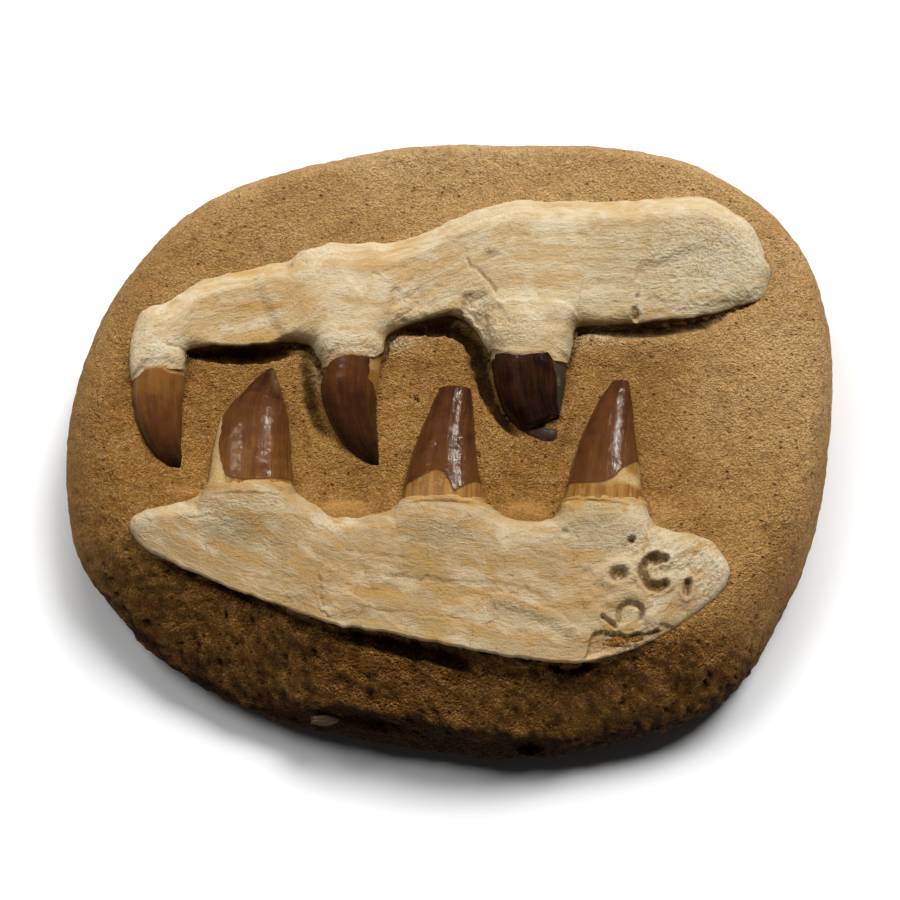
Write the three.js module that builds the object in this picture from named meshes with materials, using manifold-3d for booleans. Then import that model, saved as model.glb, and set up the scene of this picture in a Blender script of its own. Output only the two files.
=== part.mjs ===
// A fossil mosasaur jaw as it is prepared for display: two lengths of cream jaw bone and six
// brown teeth, half sunk in the block of sandy matrix in which they were found.
//
// Millimetres, +Z up. The block lies on its flat back, with the jaws facing up. +X runs along the
// jaws from the front teeth to the broken back ends, and +Y from the lower jaw to the upper jaw.
// The origin is under the middle of the block, on the plane it rests on.

import * as THREE from "three";
import { mergeVertices } from "three/addons/utils/BufferGeometryUtils.js";
import Module from "manifold-3d";

// Driving dimensions
const BLOCK_TOP = 40; // level of the matrix between and around the jaws
const BLOCK_WAIST = 11; // level at which the block is widest
const BLOCK_UNDERCUT = 13; // how far its flat base is set in from the waist
const BASIN_DEPTH = 1.5; // how far the matrix is dug down between the jaws
const FIT_GAP = 0.4; // clearance of each bone and tooth in its pocket
const SEAT_DEPTH = 5; // how far the jaw bones run down under their outlines
const SEAT_ROUND = 8; // how wide their undersides are rounded
const ROOT_LENGTH = 9; // how far each tooth's root runs back into its jaw
const TOOTH_LEVEL = 39.3; // level of a tooth's own middle at its gum line
const TIP_DIP = 1.5; // how far a tooth's tip dips towards the matrix
const SHELL = 1.5; // thickness of the bone round a tooth's root

const MATRIX_COLOUR = 0xb58a55;
const BONE_COLOUR = 0xd9c49a;
const ENAMEL_COLOUR = 0x5a3420;

// Plan of the block at its waist, anticlockwise from the back: x, y, the width of the shoulder
// between its level top and the waist, and how far that shoulder breaks at a ridge (0 is round).
const WAIST_PLAN = [
  [0, 107.5, 12, 0],
  [-40.5, 101.9, 13, 0],
  [-80.6, 87.9, 15, 0],
  [-104.6, 64.8, 17, 0],
  [-119, 36, 18, 0],
  [-125, 2, 18, 0],
  [-120.5, -33, 22, 0.1],
  [-106, -54.4, 27, 0.4],
  [-85.4, -73, 32, 0.85],
  [-47.5, -90, 30, 1],
  [16, -100.7, 29, 1],
  [48, -96.6, 26, 1],
  [71, -90.5, 24, 0.7],
  [88.6, -82, 22, 0.5],
  [101, -66, 20, 0.2],
  [117.5, -32.2, 15, 0],
  [124.5, 1, 11, 0],
  [126.5, 38, 10, 0],
  [116.6, 72.1, 11, 0],
  [91, 95.5, 12, 0],
  [58.6, 105.2, 12, 0],
];

// How much of a wall there is under that ridge, as [x, share], and how far down the shoulder the
// ridge is.
const WALL = [
  [-89, 0.15], [-62, 0.15], [-52, 0.25], [-38, 1], [-8, 1], [22, 0.8], [45, 0.4], [64, 0.15],
];
const RIDGE_AT = 2 / 3;

// Each jaw bone is a run of ribs across it: a point on its back edge and one on its tooth edge
// or lower edge. The first and last ribs are its two ends.
const UPPER_RIBS = [
  [[-103.4, 27.5], [-103.4, 27.5]],
  [[-102.2, 35], [-102.7, 20]],
  [[-100.3, 40], [-101.6, 15.5]],
  [[-97, 42.5], [-98, 15]],
  [[-92, 43.5], [-92, 16.5]],
  [[-87, 47.5], [-85.5, 18]],
  [[-82, 51], [-84, 21]],
  [[-78, 52.5], [-82, 26]],
  [[-62, 56.5], [-62, 27]],
  [[-53, 58.5], [-51, 28]],
  [[-49, 62], [-45, 27]],
  [[-43, 63.5], [-42, 23]],
  [[-38, 65], [-40.5, 18.5]],
  [[-31, 65], [-31.5, 20]],
  [[-24, 65], [-23, 19.5]],
  [[-18, 65], [-21, 24]],
  [[-13, 66.5], [-20, 30]],
  [[-7, 69], [-13, 34]],
  [[3, 74], [1, 36.5]],
  [[11, 77], [8, 32.5]],
  [[17, 78.5], [12, 25]],
  [[24, 80], [14, 19]],
  [[32, 79.5], [26, 19.5]],
  [[40, 79.5], [38, 20]],
  [[46, 79.5], [40, 27]],
  [[50, 79.5], [42, 33]],
  [[62, 80], [58, 34.5]],
  [[77, 81.5], [76, 36.5]],
  [[86, 80.5], [88, 39]],
  [[94, 76], [97, 42]],
  [[101, 69], [103, 45]],
  [[106, 54], [106, 54]],
];
const LOWER_RIBS = [
  [[-100.8, -33], [-100.8, -33]],
  [[-99.8, -29.5], [-99.6, -36]],
  [[-94.5, -26.5], [-94, -42]],
  [[-81, -23.5], [-80, -49]],
  [[-78, -18], [-75, -51.2]],
  [[-63, -16], [-66, -55]],
  [[-50, -17], [-58, -58]],
  [[-46.5, -22.5], [-51, -60.2]],
  [[-41, -26], [-44, -63.2]],
  [[-35, -29.8], [-36, -66.2]],
  [[-26, -29.3], [-27, -67.7]],
  [[-19, -26.5], [-18, -69.2]],
  [[-15.5, -22], [-11, -70.7]],
  [[-1, -20], [0, -73.2]],
  [[11.5, -21], [9, -75]],
  [[15, -26.5], [16, -76.2]],
  [[20, -30.3], [22, -77.2]],
  [[27, -31], [28, -77.9]],
  [[33.5, -28.5], [34, -78.4]],
  [[36.5, -22], [40, -78.6]],
  [[49.5, -17.5], [46, -77.4]],
  [[61.5, -19.5], [52, -75.8]],
  [[63, -27], [58, -73.6]],
  [[67, -33], [64, -70.8]],
  [[81, -36.8], [77, -62.5]],
  [[87, -43], [85.5, -55]],
  [[88.7, -48.8], [88.7, -48.8]],
];

// The level of a jaw's outline, just under the matrix, and how high its crest and its front edge
// stand over that, as [x, height]: the bone slopes from one to the other. How wide its back edge
// is rounded, how wide its front edge is as [x, width], and how bluntly each is (2 is a quarter
// circle). The steps are broken edges of the bone's outer layer: past the line from a to b, seen
// from a on its right, the surface is lower by drop and comes level again over the reach.
const UPPER_JAW = {
  ribs: UPPER_RIBS,
  level: 38,
  crest: [
    [-102, 9.5], [-86, 9], [-78, 7.6], [-56, 8], [-45, 9.6], [-24, 10.6], [-14, 10.2], [0, 11.6],
    [20, 13.5], [60, 13.2], [90, 12.5], [106, 9],
  ],
  front: [
    [-103, 9], [-86, 8.6], [-79, 3.7], [-53, 4.2], [-44, 8.4], [-22, 8.4], [-14, 5], [5, 7],
    [13, 9], [39, 9], [46, 5.4], [60, 5],
  ],
  roundBack: 15,
  roundFront: [
    [-102, 8], [-86, 8], [-79, 1.3], [-53, 1.3], [-44, 8], [-22, 8], [-14, 2], [5, 2.4],
    [14, 8], [40, 8], [46, 3], [60, 5], [100, 7],
  ],
  blunt: [1.6, 2.3],
  steps: [
    { a: [61, 32], b: [60.5, 53], drop: 0.8, reach: 30 },
    { a: [4, 27], b: [4.5, 43], drop: 1.9, reach: 11 },
    { a: [-62, 50], b: [-51, 57], drop: -0.9, reach: 40 },
  ],
};
const LOWER_JAW = {
  ribs: LOWER_RIBS,
  level: 37.5,
  crest: [[-100, 6], [-60, 8], [-40, 7.6], [0, 9], [50, 9], [88, 7.4]],
  front: [[-60, 3.4], [-40, 4.2], [0, 5], [44, 5.2], [52, 4.2], [64, 3.6], [88, 4.5]],
  roundBack: 8,
  roundFront: [[-90, 1.6], [-60, 1.2], [50, 1.2], [62, 3]],
  blunt: [1.7, 2.3],
  steps: [
    { a: [41.5, -80], b: [46, -69], drop: 1.7, reach: 34 },
    { a: [-42, -66], b: [-42.5, -49], drop: -0.7, reach: 50 },
  ],
};

// Pits in the worn back end of the lower jaw: [x, y, radius, depth, level of the bone there].
const BONE_PITS = [
  [56.8, -39.9, 1.6, 2.2, 45.5],
  [63.4, -46.2, 2.9, 2.6, 44.8],
  [63.8, -54.2, 3.1, 2.6, 43.7],
  [52.6, -50.8, 2.8, 1.8, 44.4],
  [74.1, -54, 2, 1.6, 43.4],
  [56, -62.4, 3.2, 1.6, 42.8],
];

// Each tooth is a run of stations from its gum line to its tip: a point on its left edge and one
// on its right edge. Thickness is its height over its width. The collar of bone over its root
// runs back into the jaw at full height to the first of two distances, and at the second it has
// sunk into the bone.
const TEETH = {
  upper_front_tooth: {
    collar: [4, 16],
    thickness: 0.8,
    stations: [
      [[-101.3, 12.5], [-84.5, 13]],
      [[-101, 7.5], [-85, 8]],
      [[-99, 0], [-85, 0]],
      [[-95, -7.5], [-85, -6.5]],
      [[-90, -12.5], [-84.5, -11]],
    ],
    tip: [-84, -15.5],
  },
  upper_middle_tooth: {
    collar: [5, 18],
    thickness: 0.8,
    stations: [
      [[-40.3, 17.5], [-22, 17.5]],
      [[-40.8, 12.5], [-22.6, 12]],
      [[-39, 4.5], [-23, 5]],
      [[-34, -5], [-22.5, -3]],
      [[-27.5, -11], [-22, -9]],
    ],
    tip: [-21.5, -14.5],
  },
  upper_back_tooth: {
    collar: [15.5, 19.5],
    thickness: 0.8,
    stations: [
      [[14.2, 18.5], [38.2, 19]],
      [[15.2, 13], [37.8, 14]],
      [[17.5, 6], [36.5, 8]],
      [[22, 0], [35.5, 4.5]],
      [[24.5, -1.5], [35, 2.6]],
    ],
    tip: [29.6, 0.2],
  },
  lower_front_tooth: {
    collar: [5, 26],
    thickness: 0.68,
    stations: [
      [[-75.8, -15.5], [-49.4, -15.5]],
      [[-74.8, -7], [-50, -7]],
      [[-73, 2], [-51, 2]],
      [[-68.8, 9], [-52.6, 10]],
      [[-62.5, 17], [-54.6, 17]],
    ],
    tip: [-56.2, 22.8],
  },
  lower_middle_tooth: {
    collar: [5, 26],
    thickness: 0.7,
    stations: [
      [[-13.6, -18], [10.4, -18.5]],
      [[-12, -11], [9.2, -11.5]],
      [[-9.5, -3], [8.5, -3]],
      [[-6.5, 5], [8, 5]],
      [[-3.3, 12.4], [7.6, 12.2]],
    ],
    tip: [2.4, 14],
  },
  lower_back_tooth: {
    collar: [5, 26],
    thickness: 0.7,
    stations: [
      [[37.8, -18], [61.1, -18.5]],
      [[40, -11], [60.6, -11.5]],
      [[43, -1.5], [59.5, -2]],
      [[47.5, 8], [58.9, 7.5]],
      [[51.6, 14.6], [58.1, 14.6]],
    ],
    tip: [55.3, 16.7],
  },
};

// The snapped-off tip of the upper back tooth, still lying in its own mould.
const TOOTH_TIP = {
  thickness: 0.7,
  stations: [
    [[25.4, -2.6], [29.6, -0.6]],
    [[28.4, -5.3], [31.2, -0.7]],
    [[31.8, -6], [33, -1.2]],
  ],
  tip: [35.4, -3.4],
};

// A small chip of pale bone showing in the lower face of the block.
const CHIP = {
  place: [-39, -90.9, 18.5],
  size: [9.5, 3.4, 4],
  turn: [-0.6, 0.1, 0.15],
};

// Grooves that the preparator's needle left beside the bones and teeth: a path over the matrix,
// and the groove's half width and depth.
const GROOVES = [
  { path: [[-84, 25.5], [-64, 25.2], [-50, 26]], halfWidth: 2.6, depth: 4.5 },
  { path: [[-46.5, 25], [-45, 14], [-43, 5], [-38.5, -3.5]], halfWidth: 2, depth: 3.2 },
  {
    path: [
      [-17, 32], [-5, 33.5], [4, 32], [8.5, 26], [10.8, 18.6], [12, 13.5], [14.5, 7.6], [18.6, 0.8],
      [22.4, -3.6],
    ],
    halfWidth: 2.1,
    depth: 5,
  },
  { path: [[44, 33], [62, 33], [81, 35.5], [94, 39]], halfWidth: 2, depth: 3.2 },
  { path: [[-40, -67], [-12, -72.5], [10, -78], [38, -80.5]], halfWidth: 2.2, depth: 3.6 },
];

// Places where the matrix has broken away: the middle, the size across, and the turn about Z.
const BREAKS = [
  { place: [-25, -91, 20], size: [25, 7, 7], turn: -0.16 }, // hollow under the front ridge
  { place: [25.5, -98.5, 17], size: [11, 6, 12], turn: 0.05 }, // broken end of the front ledge
  { place: [-34.5, -79.5, 31.5], size: [7.5, 2.6, 5], turn: -0.4 }, // gouge in the front slope
  { place: [21.5, -93, 28], size: [14, 6, 6], turn: 0.02 }, // flat shelf over the ledge
];

// Broad swells of the matrix: [height, waves a millimetre along x, along y, start of the wave].
const SWELLS = [
  [0.5, 0.055, 0.03, 0.9],
  [0.4, -0.03, 0.075, 2.3],
  [0.3, 0.12, -0.08, 4.1],
];

// A smooth curve through points: uniform Catmull-Rom, sampled at count places.
function smoothThrough(points, count, closed) {
  const curve = new THREE.CatmullRomCurve3(
    points.map(([x, y]) => new THREE.Vector3(x, y, 0)),
    closed,
    "catmullrom",
    0.5,
  );
  const last = closed ? count : count - 1;
  return Array.from({ length: count }, (_, i) => curve.getPoint(i / last));
}

// Straight-line interpolation in a list of [x, value].
function between(table, x) {
  if (x <= table[0][0]) return table[0][1];
  for (let i = 1; i < table.length; i++) {
    const [x1, v1] = table[i];
    const [x0, v0] = table[i - 1];
    if (x <= x1) return v0 + ((v1 - v0) * (x - x0)) / (x1 - x0);
  }
  return table[table.length - 1][1];
}

const smoothstep = (low, high, x) => THREE.MathUtils.smoothstep(x, low, high);

// Height of a rounded edge: 0 on the outline, rising to 1 at the full width. It is a quarter
// circle when blunt is 2.
const rounded = (share, blunt = 2) => (1 - (1 - Math.min(share, 1)) ** blunt) ** (1 / blunt);

// A closed skin over rings of equal length, from a first pole to a last pole, faces outwards.
function skin(rings, firstPole, lastPole) {
  const around = rings[0].length;
  const points = [firstPole, ...rings.flat(), lastPole];
  const at = (ring, i) => 1 + ring * around + (i % around);
  const last = points.length - 1;
  const faces = [];
  for (let i = 0; i < around; i++) {
    faces.push([0, at(0, i), at(0, i + 1)]);
    for (let ring = 0; ring + 1 < rings.length; ring++) {
      faces.push([at(ring, i), at(ring + 1, i), at(ring + 1, i + 1)]);
      faces.push([at(ring, i), at(ring + 1, i + 1), at(ring, i + 1)]);
    }
    faces.push([last, at(rings.length - 1, i + 1), at(rings.length - 1, i)]);
  }
  const sixfold = faces.reduce(
    (sum, [a, b, c]) => sum + points[a].dot(new THREE.Vector3().crossVectors(points[b], points[c])),
    0,
  );
  const outward = sixfold < 0 ? faces.map(([a, b, c]) => [a, c, b]) : faces;
  return new THREE.BufferGeometry()
    .setFromPoints(points)
    .setIndex(outward.flat());
}

// A copy of a closed skin that stands out from it by a distance, as the cutter of its pocket.
function grown(geometry, distance) {
  const copy = geometry.clone();
  copy.computeVertexNormals();
  const place = copy.attributes.position;
  const normal = copy.attributes.normal;
  for (let i = 0; i < place.count; i++) {
    place.setXYZ(
      i,
      place.getX(i) + distance * normal.getX(i),
      place.getY(i) + distance * normal.getY(i),
      place.getZ(i) + distance * normal.getZ(i),
    );
  }
  return copy;
}

const wasm = await Module();
wasm.setup();

function toSolid(geometry) {
  const bare = geometry.clone();
  bare.deleteAttribute("normal");
  bare.deleteAttribute("uv");
  const merged = mergeVertices(bare);
  return new wasm.Manifold(
    new wasm.Mesh({
      numProp: 3,
      vertProperties: merged.attributes.position.array,
      triVerts: new Uint32Array(merged.index.array),
    }),
  );
}

function toGeometry(solid) {
  const mesh = solid.getMesh();
  const geometry = new THREE.BufferGeometry()
    .setAttribute("position", new THREE.BufferAttribute(new Float32Array(mesh.vertProperties), 3))
    .setIndex(new THREE.BufferAttribute(new Uint32Array(mesh.triVerts), 1));
  geometry.computeVertexNormals();
  return geometry;
}

function cutFrom(geometry, cutters) {
  return toGeometry(cutters.reduce((solid, cutter) => solid.subtract(toSolid(cutter)), toSolid(geometry)));
}

// The block: rings that spread from the middle of its top, over the shoulder to the waist, and
// back under it to the flat base.
const BLOCK_AROUND = 56;
const TOP_RINGS = 6;
const SHOULDER_RINGS = 6;
const UNDERSIDE_RINGS = 3;

// Shoulder that breaks at a ridge: at a share of the way down it, the share of the way out and of
// the height. It runs nearly straight to the ridge, and from there down the wall.
function ridged(share, wall) {
  const [ridgeOut, ridgeUp] = [1 - 0.2 * wall, 0.5 * wall];
  const slope = Math.min(share / RIDGE_AT, 1);
  const fall = Math.max((share - RIDGE_AT) / (1 - RIDGE_AT), 0);
  return {
    out: slope * ridgeOut + fall * (1 - ridgeOut),
    up: 1 - (1 - ridgeUp) * (0.75 * slope + 0.25 * slope ** 2) - fall * ridgeUp,
  };
}

function matrixLevel(x, y) {
  const across = smoothstep(-32, -20, y) * (1 - smoothstep(14, 34, y));
  const along = smoothstep(-112, -80, x) * (1 - smoothstep(70, 104, x));
  const wave = ([high, alongX, alongY, start]) => high * Math.sin(x * alongX + y * alongY + start);
  const swell = SWELLS.reduce((sum, one) => sum + wave(one), 0);
  return BLOCK_TOP - BASIN_DEPTH * across * along + swell;
}

function blockSkin() {
  const waist = smoothThrough(WAIST_PLAN, BLOCK_AROUND, true);
  const shape = smoothThrough(WAIST_PLAN.map(([, , width, ridge]) => [width, ridge]), BLOCK_AROUND, true);
  const ring = (placeOn) => waist.map((edge, i) => placeOn(edge, shape[i].x, shape[i].y));
  const onTop = (share) =>
    ring((edge, width) => {
      const plan = share * (1 - width / edge.length());
      const [x, y] = [edge.x * plan, edge.y * plan];
      return new THREE.Vector3(x, y, matrixLevel(x, y));
    });
  const onShoulder = (share) =>
    ring((edge, width, ridge) => {
      const angle = (Math.PI / 2) * share;
      const broken = ridged(share, between(WALL, edge.x));
      const part = THREE.MathUtils.clamp(ridge, 0, 1);
      const out = THREE.MathUtils.lerp(Math.sin(angle), broken.out, part);
      const up = THREE.MathUtils.lerp(Math.cos(angle), broken.up, part);
      const plan = 1 - (width * (1 - out)) / edge.length();
      const [x, y] = [edge.x * plan, edge.y * plan];
      return new THREE.Vector3(x, y, BLOCK_WAIST + (matrixLevel(x, y) - BLOCK_WAIST) * up);
    });
  const underneath = (share) =>
    ring((edge) => {
      const angle = (Math.PI / 2) * share;
      const plan = 1 - (BLOCK_UNDERCUT * (1 - Math.cos(angle))) / edge.length();
      return new THREE.Vector3(edge.x * plan, edge.y * plan, BLOCK_WAIST * (1 - Math.sin(angle)));
    });
  const steps = (count, make) => Array.from({ length: count }, (_, i) => make((i + 1) / count));
  const rings = [
    ...steps(TOP_RINGS, onTop),
    ...steps(SHOULDER_RINGS, onShoulder),
    ...steps(UNDERSIDE_RINGS, underneath),
  ];
  return skin(rings, new THREE.Vector3(0, 0, matrixLevel(0, 0)), new THREE.Vector3(0, 0, 0));
}

// A jaw bone: at each rib a ring runs over the crest from the back edge to the front edge and
// returns underneath. Its height over the matrix grows with the distance from its outline, and
// nowhere is it lower than the collars over the roots of its teeth.
const RIBS_ALONG = 46;
const OVER_CREST = 9;
const UNDER_BONE = 2;
const LIP = 1.6; // width of the rounded lip at a socket's mouth

function distanceToOutline(point, outline) {
  let nearest = Infinity;
  outline.forEach((a, i) => {
    const b = outline[(i + 1) % outline.length];
    const along = b.clone().sub(a);
    const share = point.clone().sub(a).dot(along) / Math.max(along.lengthSq(), 1e-9);
    const foot = a.clone().addScaledVector(along, THREE.MathUtils.clamp(share, 0, 1));
    nearest = Math.min(nearest, foot.distanceTo(point));
  });
  return nearest;
}

// How much lower the surface is at a point for the broken edges of the bone's outer layer.
function flaking(point, steps) {
  return steps.reduce((sum, { a, b, drop, reach }) => {
    const span = Math.hypot(b[0] - a[0], b[1] - a[1]);
    const along = [(b[0] - a[0]) / span, (b[1] - a[1]) / span];
    const away = [point.x - a[0], point.y - a[1]];
    const past = away[0] * along[1] - away[1] * along[0];
    const beside = away[0] * along[0] + away[1] * along[1];
    const within = smoothstep(-2, 2, beside) * (1 - smoothstep(span - 2, span + 6, beside));
    return sum + drop * smoothstep(-0.6, 0.6, past) * within * (1 - smoothstep(reach * 0.4, reach, past));
  }, 0);
}

// Height over the jaw's level with the collar of bone over a tooth's root: the collar adds what it
// stands over the body, and that fades away into the jaw.
function collarRise(point, level, body, { stations, thickness, collar }) {
  const [left, right] = stations[0];
  const middle = [(left[0] + right[0]) / 2, (left[1] + right[1]) / 2];
  const next = [(stations[1][0][0] + stations[1][1][0]) / 2, (stations[1][0][1] + stations[1][1][1]) / 2];
  const reach = Math.hypot(middle[0] - next[0], middle[1] - next[1]);
  const inward = [(middle[0] - next[0]) / reach, (middle[1] - next[1]) / reach];
  const away = [point.x - middle[0], point.y - middle[1]];
  const along = away[0] * inward[0] + away[1] * inward[1];
  const across = Math.abs(away[0] * inward[1] - away[1] * inward[0]);
  const half = Math.hypot(right[0] - left[0], right[1] - left[1]) / 2;
  const high = half * thickness + SHELL + TOOTH_LEVEL - level;
  const dome = Math.sqrt(Math.max(0, 1 - (across / (half + 2.5)) ** 2));
  return body + Math.max(0, high * dome - body) * (1 - smoothstep(collar[0], collar[1], along));
}

function jawSkin(jaw, teethOfJaw) {
  const back = smoothThrough(jaw.ribs.map(([edge]) => edge), RIBS_ALONG, false);
  const front = smoothThrough(jaw.ribs.map(([, edge]) => edge), RIBS_ALONG, false);
  const outline = [...back, ...front.slice(1, -1).reverse()];
  const ringAt = (i) => {
    const ring = [];
    const chord = (share) => back[i].clone().lerp(front[i], share);
    for (let k = 0; k <= OVER_CREST; k++) {
      const share = (1 - Math.cos((Math.PI * k) / OVER_CREST)) / 2;
      const point = chord(share);
      const away = distanceToOutline(point, outline);
      const widthShare = smoothstep(0, 0.85, share);
      const width = THREE.MathUtils.lerp(jaw.roundBack, between(jaw.roundFront, point.x), widthShare);
      const blunt = THREE.MathUtils.lerp(...jaw.blunt, share);
      const drop = flaking(point, jaw.steps) * smoothstep(0, 3, away);
      const slope = smoothstep(0.1, 1.15, share);
      const high = THREE.MathUtils.lerp(between(jaw.crest, point.x), between(jaw.front, point.x), slope);
      const body = high * rounded(away / width, blunt) - drop;
      const collars = teethOfJaw.map((tooth) => collarRise(point, jaw.level, body, tooth));
      ring.push(point.setZ(jaw.level + Math.max(body, ...collars) * rounded(away / LIP)));
    }
    for (let k = 1; k <= UNDER_BONE; k++) {
      const point = chord(1 - k / (UNDER_BONE + 1));
      const away = distanceToOutline(point, outline);
      ring.push(point.setZ(jaw.level - SEAT_DEPTH * rounded(away / SEAT_ROUND)));
    }
    return ring;
  };
  const rings = Array.from({ length: RIBS_ALONG - 2 }, (_, i) => ringAt(i + 1));
  return skin(rings, back[0].setZ(jaw.level), back[RIBS_ALONG - 1].setZ(jaw.level));
}

// A shallow bowl sunk in a bone's surface, as the cutter of a pit.
function pitSkin([x, y, radius, depth, surface]) {
  const around = 8;
  const above = 4;
  const ring = (r, z) =>
    Array.from({ length: around }, (_, i) => {
      const turn = (2 * Math.PI * i) / around;
      return new THREE.Vector3(x + r * Math.cos(turn), y + r * Math.sin(turn), z);
    });
  return skin(
    [ring(radius * 1.3, surface + above), ring(radius * 0.6, surface - depth)],
    new THREE.Vector3(x, y, surface + above),
    new THREE.Vector3(x, y, surface - depth),
  );
}

// A tooth: oval rings from the root's end, hidden in the jaw, past the gum line to the tip.
const TOOTH_RINGS = 7;
const TOOTH_AROUND = 10;
const ROOT_TAPER = 0.6; // width of the root's end over the width at the gum line

function toothSkin({ stations, tip, thickness }, ringCount, rootLength) {
  const left = smoothThrough(stations.map(([edge]) => edge), ringCount, false);
  const right = smoothThrough(stations.map(([, edge]) => edge), ringCount, false);
  const oval = (a, b, level) => {
    const middle = a.clone().add(b).multiplyScalar(0.5);
    const half = b.clone().sub(a).multiplyScalar(0.5);
    return Array.from({ length: TOOTH_AROUND }, (_, i) => {
      const turn = (2 * Math.PI * i) / TOOTH_AROUND;
      const point = middle.clone().addScaledVector(half, Math.cos(turn));
      return point.setZ(level + half.length() * thickness * Math.sin(turn));
    });
  };
  const middleAt = (i) => left[i].clone().add(right[i]).multiplyScalar(0.5);
  const rootWay = middleAt(0).sub(middleAt(1)).normalize().multiplyScalar(rootLength);
  const rootEnd = middleAt(0).add(rootWay);
  const inward = (edge) => edge.clone().add(rootWay).lerp(rootEnd, 1 - ROOT_TAPER);
  const levelAt = (i) => TOOTH_LEVEL - (TIP_DIP * i) / ringCount;
  const rings = left.map((edge, i) => oval(edge, right[i], levelAt(i)));
  if (rootLength > 0) rings.unshift(oval(inward(left[0]), inward(right[0]), TOOTH_LEVEL));
  return skin(
    rings,
    rootEnd.setZ(TOOTH_LEVEL),
    new THREE.Vector3(...tip, levelAt(ringCount)),
  );
}

// A groove: a round-bottomed trough along its path, as a cutter.
function grooveSkin({ path, halfWidth, depth }) {
  const along = 9;
  const around = 6;
  const line = smoothThrough(path, along, false);
  const rings = line.map((point, i) => {
    const ahead = line[Math.min(i + 1, along - 1)].clone().sub(line[Math.max(i - 1, 0)]);
    const side = new THREE.Vector3(-ahead.y, ahead.x, 0).normalize();
    const swell = Math.sqrt(Math.sin((Math.PI * (i + 1)) / (along + 1)));
    return Array.from({ length: around }, (_, k) => {
      const turn = (2 * Math.PI * k) / around;
      const place = point.clone().addScaledVector(side, halfWidth * swell * Math.cos(turn));
      return place.setZ(matrixLevel(point.x, point.y) + depth * swell * Math.sin(turn));
    });
  });
  const onLevel = (point) => point.clone().setZ(matrixLevel(point.x, point.y));
  return skin(rings, onLevel(line[0]), onLevel(line[along - 1]));
}

// A faceted lump: an octahedron with each face split in four, stretched, turned and placed.
function lumpSkin(place, size, turn) {
  const lump = new THREE.OctahedronGeometry(0.5, 1);
  const bare = new THREE.BufferGeometry().setAttribute("position", lump.attributes.position);
  return mergeVertices(bare)
    .applyMatrix4(new THREE.Matrix4().makeScale(...size))
    .applyMatrix4(new THREE.Matrix4().makeRotationFromEuler(new THREE.Euler(...turn)))
    .translate(...place);
}

const finish = (color, roughness) =>
  new THREE.MeshStandardMaterial({ color, roughness, metalness: 0 });
const matrixFinish = finish(MATRIX_COLOUR, 0.95);
const boneFinish = finish(BONE_COLOUR, 0.75);
const enamelFinish = finish(ENAMEL_COLOUR, 0.25);

const teethOf = (jaw) =>
  Object.entries(TEETH)
    .filter(([name]) => name.startsWith(jaw))
    .map(([, tooth]) => tooth);
const upperJaw = jawSkin(UPPER_JAW, teethOf("upper"));
const lowerJaw = jawSkin(LOWER_JAW, teethOf("lower"));
const teeth = Object.entries(TEETH).map(([name, tooth]) => [
  name,
  toothSkin(tooth, TOOTH_RINGS, ROOT_LENGTH),
]);
const toothTip = toothSkin(TOOTH_TIP, 4, 0);
const chip = lumpSkin(CHIP.place, CHIP.size, CHIP.turn);

const toothCutters = teeth.map(([, geometry]) => grown(geometry, FIT_GAP));
const pitCutters = BONE_PITS.map(pitSkin);
const blockCutters = [
  ...GROOVES.map(grooveSkin),
  ...BREAKS.map(({ place, size, turn }) => lumpSkin(place, size, [0, 0, turn])),
  ...toothCutters,
  ...[upperJaw, lowerJaw, toothTip, chip].map((geometry) => grown(geometry, FIT_GAP)),
];

const block = blockSkin();
block.computeBoundingBox();
const middle = block.boundingBox.getCenter(new THREE.Vector3());

const pieces = [
  ["matrix_block", cutFrom(block, blockCutters), matrixFinish],
  ["upper_jaw_bone", cutFrom(upperJaw, toothCutters), boneFinish],
  ["lower_jaw_bone", cutFrom(lowerJaw, [...toothCutters, ...pitCutters]), boneFinish],
  ...teeth.map(([name, geometry]) => [name, geometry, enamelFinish]),
  ["upper_back_tooth_tip", toothTip, enamelFinish],
  ["bone_chip", chip, boneFinish],
];

const fossil = new THREE.Group();
for (const [name, geometry, material] of pieces) {
  geometry.translate(-middle.x, -middle.y, 0);
  const mesh = new THREE.Mesh(geometry, material);
  mesh.name = name;
  fossil.add(mesh);
}

export default fossil;
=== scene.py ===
# %% [markdown]
# # A fossil mosasaur jaw, prepared in its matrix
# Two lengths of cream jaw bone and six brown teeth lie half sunk in a block of sandy matrix. The
# preparator rounded the block, dug the sand down beside the bones, and left the needle's grooves.
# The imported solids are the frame. Every piece here is the same form worked out again on a finer
# grid, so that the broken layers, cracks, pits and grain of the real fossil can be real shape.

# %% The frame
import math

import bpy
import numpy as np
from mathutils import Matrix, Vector


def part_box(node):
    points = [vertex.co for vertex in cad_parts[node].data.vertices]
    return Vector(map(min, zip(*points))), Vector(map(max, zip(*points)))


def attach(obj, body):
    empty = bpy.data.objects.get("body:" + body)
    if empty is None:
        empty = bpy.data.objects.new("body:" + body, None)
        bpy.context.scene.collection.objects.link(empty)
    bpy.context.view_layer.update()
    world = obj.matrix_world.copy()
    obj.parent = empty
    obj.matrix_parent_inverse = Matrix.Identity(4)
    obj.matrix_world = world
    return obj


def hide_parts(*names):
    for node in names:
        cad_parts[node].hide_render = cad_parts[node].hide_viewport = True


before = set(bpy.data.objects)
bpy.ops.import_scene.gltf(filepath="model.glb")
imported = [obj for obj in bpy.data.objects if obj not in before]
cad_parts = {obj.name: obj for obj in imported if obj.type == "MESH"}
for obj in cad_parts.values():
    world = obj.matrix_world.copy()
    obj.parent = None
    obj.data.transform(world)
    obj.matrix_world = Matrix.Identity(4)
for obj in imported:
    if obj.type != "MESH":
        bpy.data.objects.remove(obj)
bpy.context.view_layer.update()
print("solids:", sorted(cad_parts))

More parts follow.
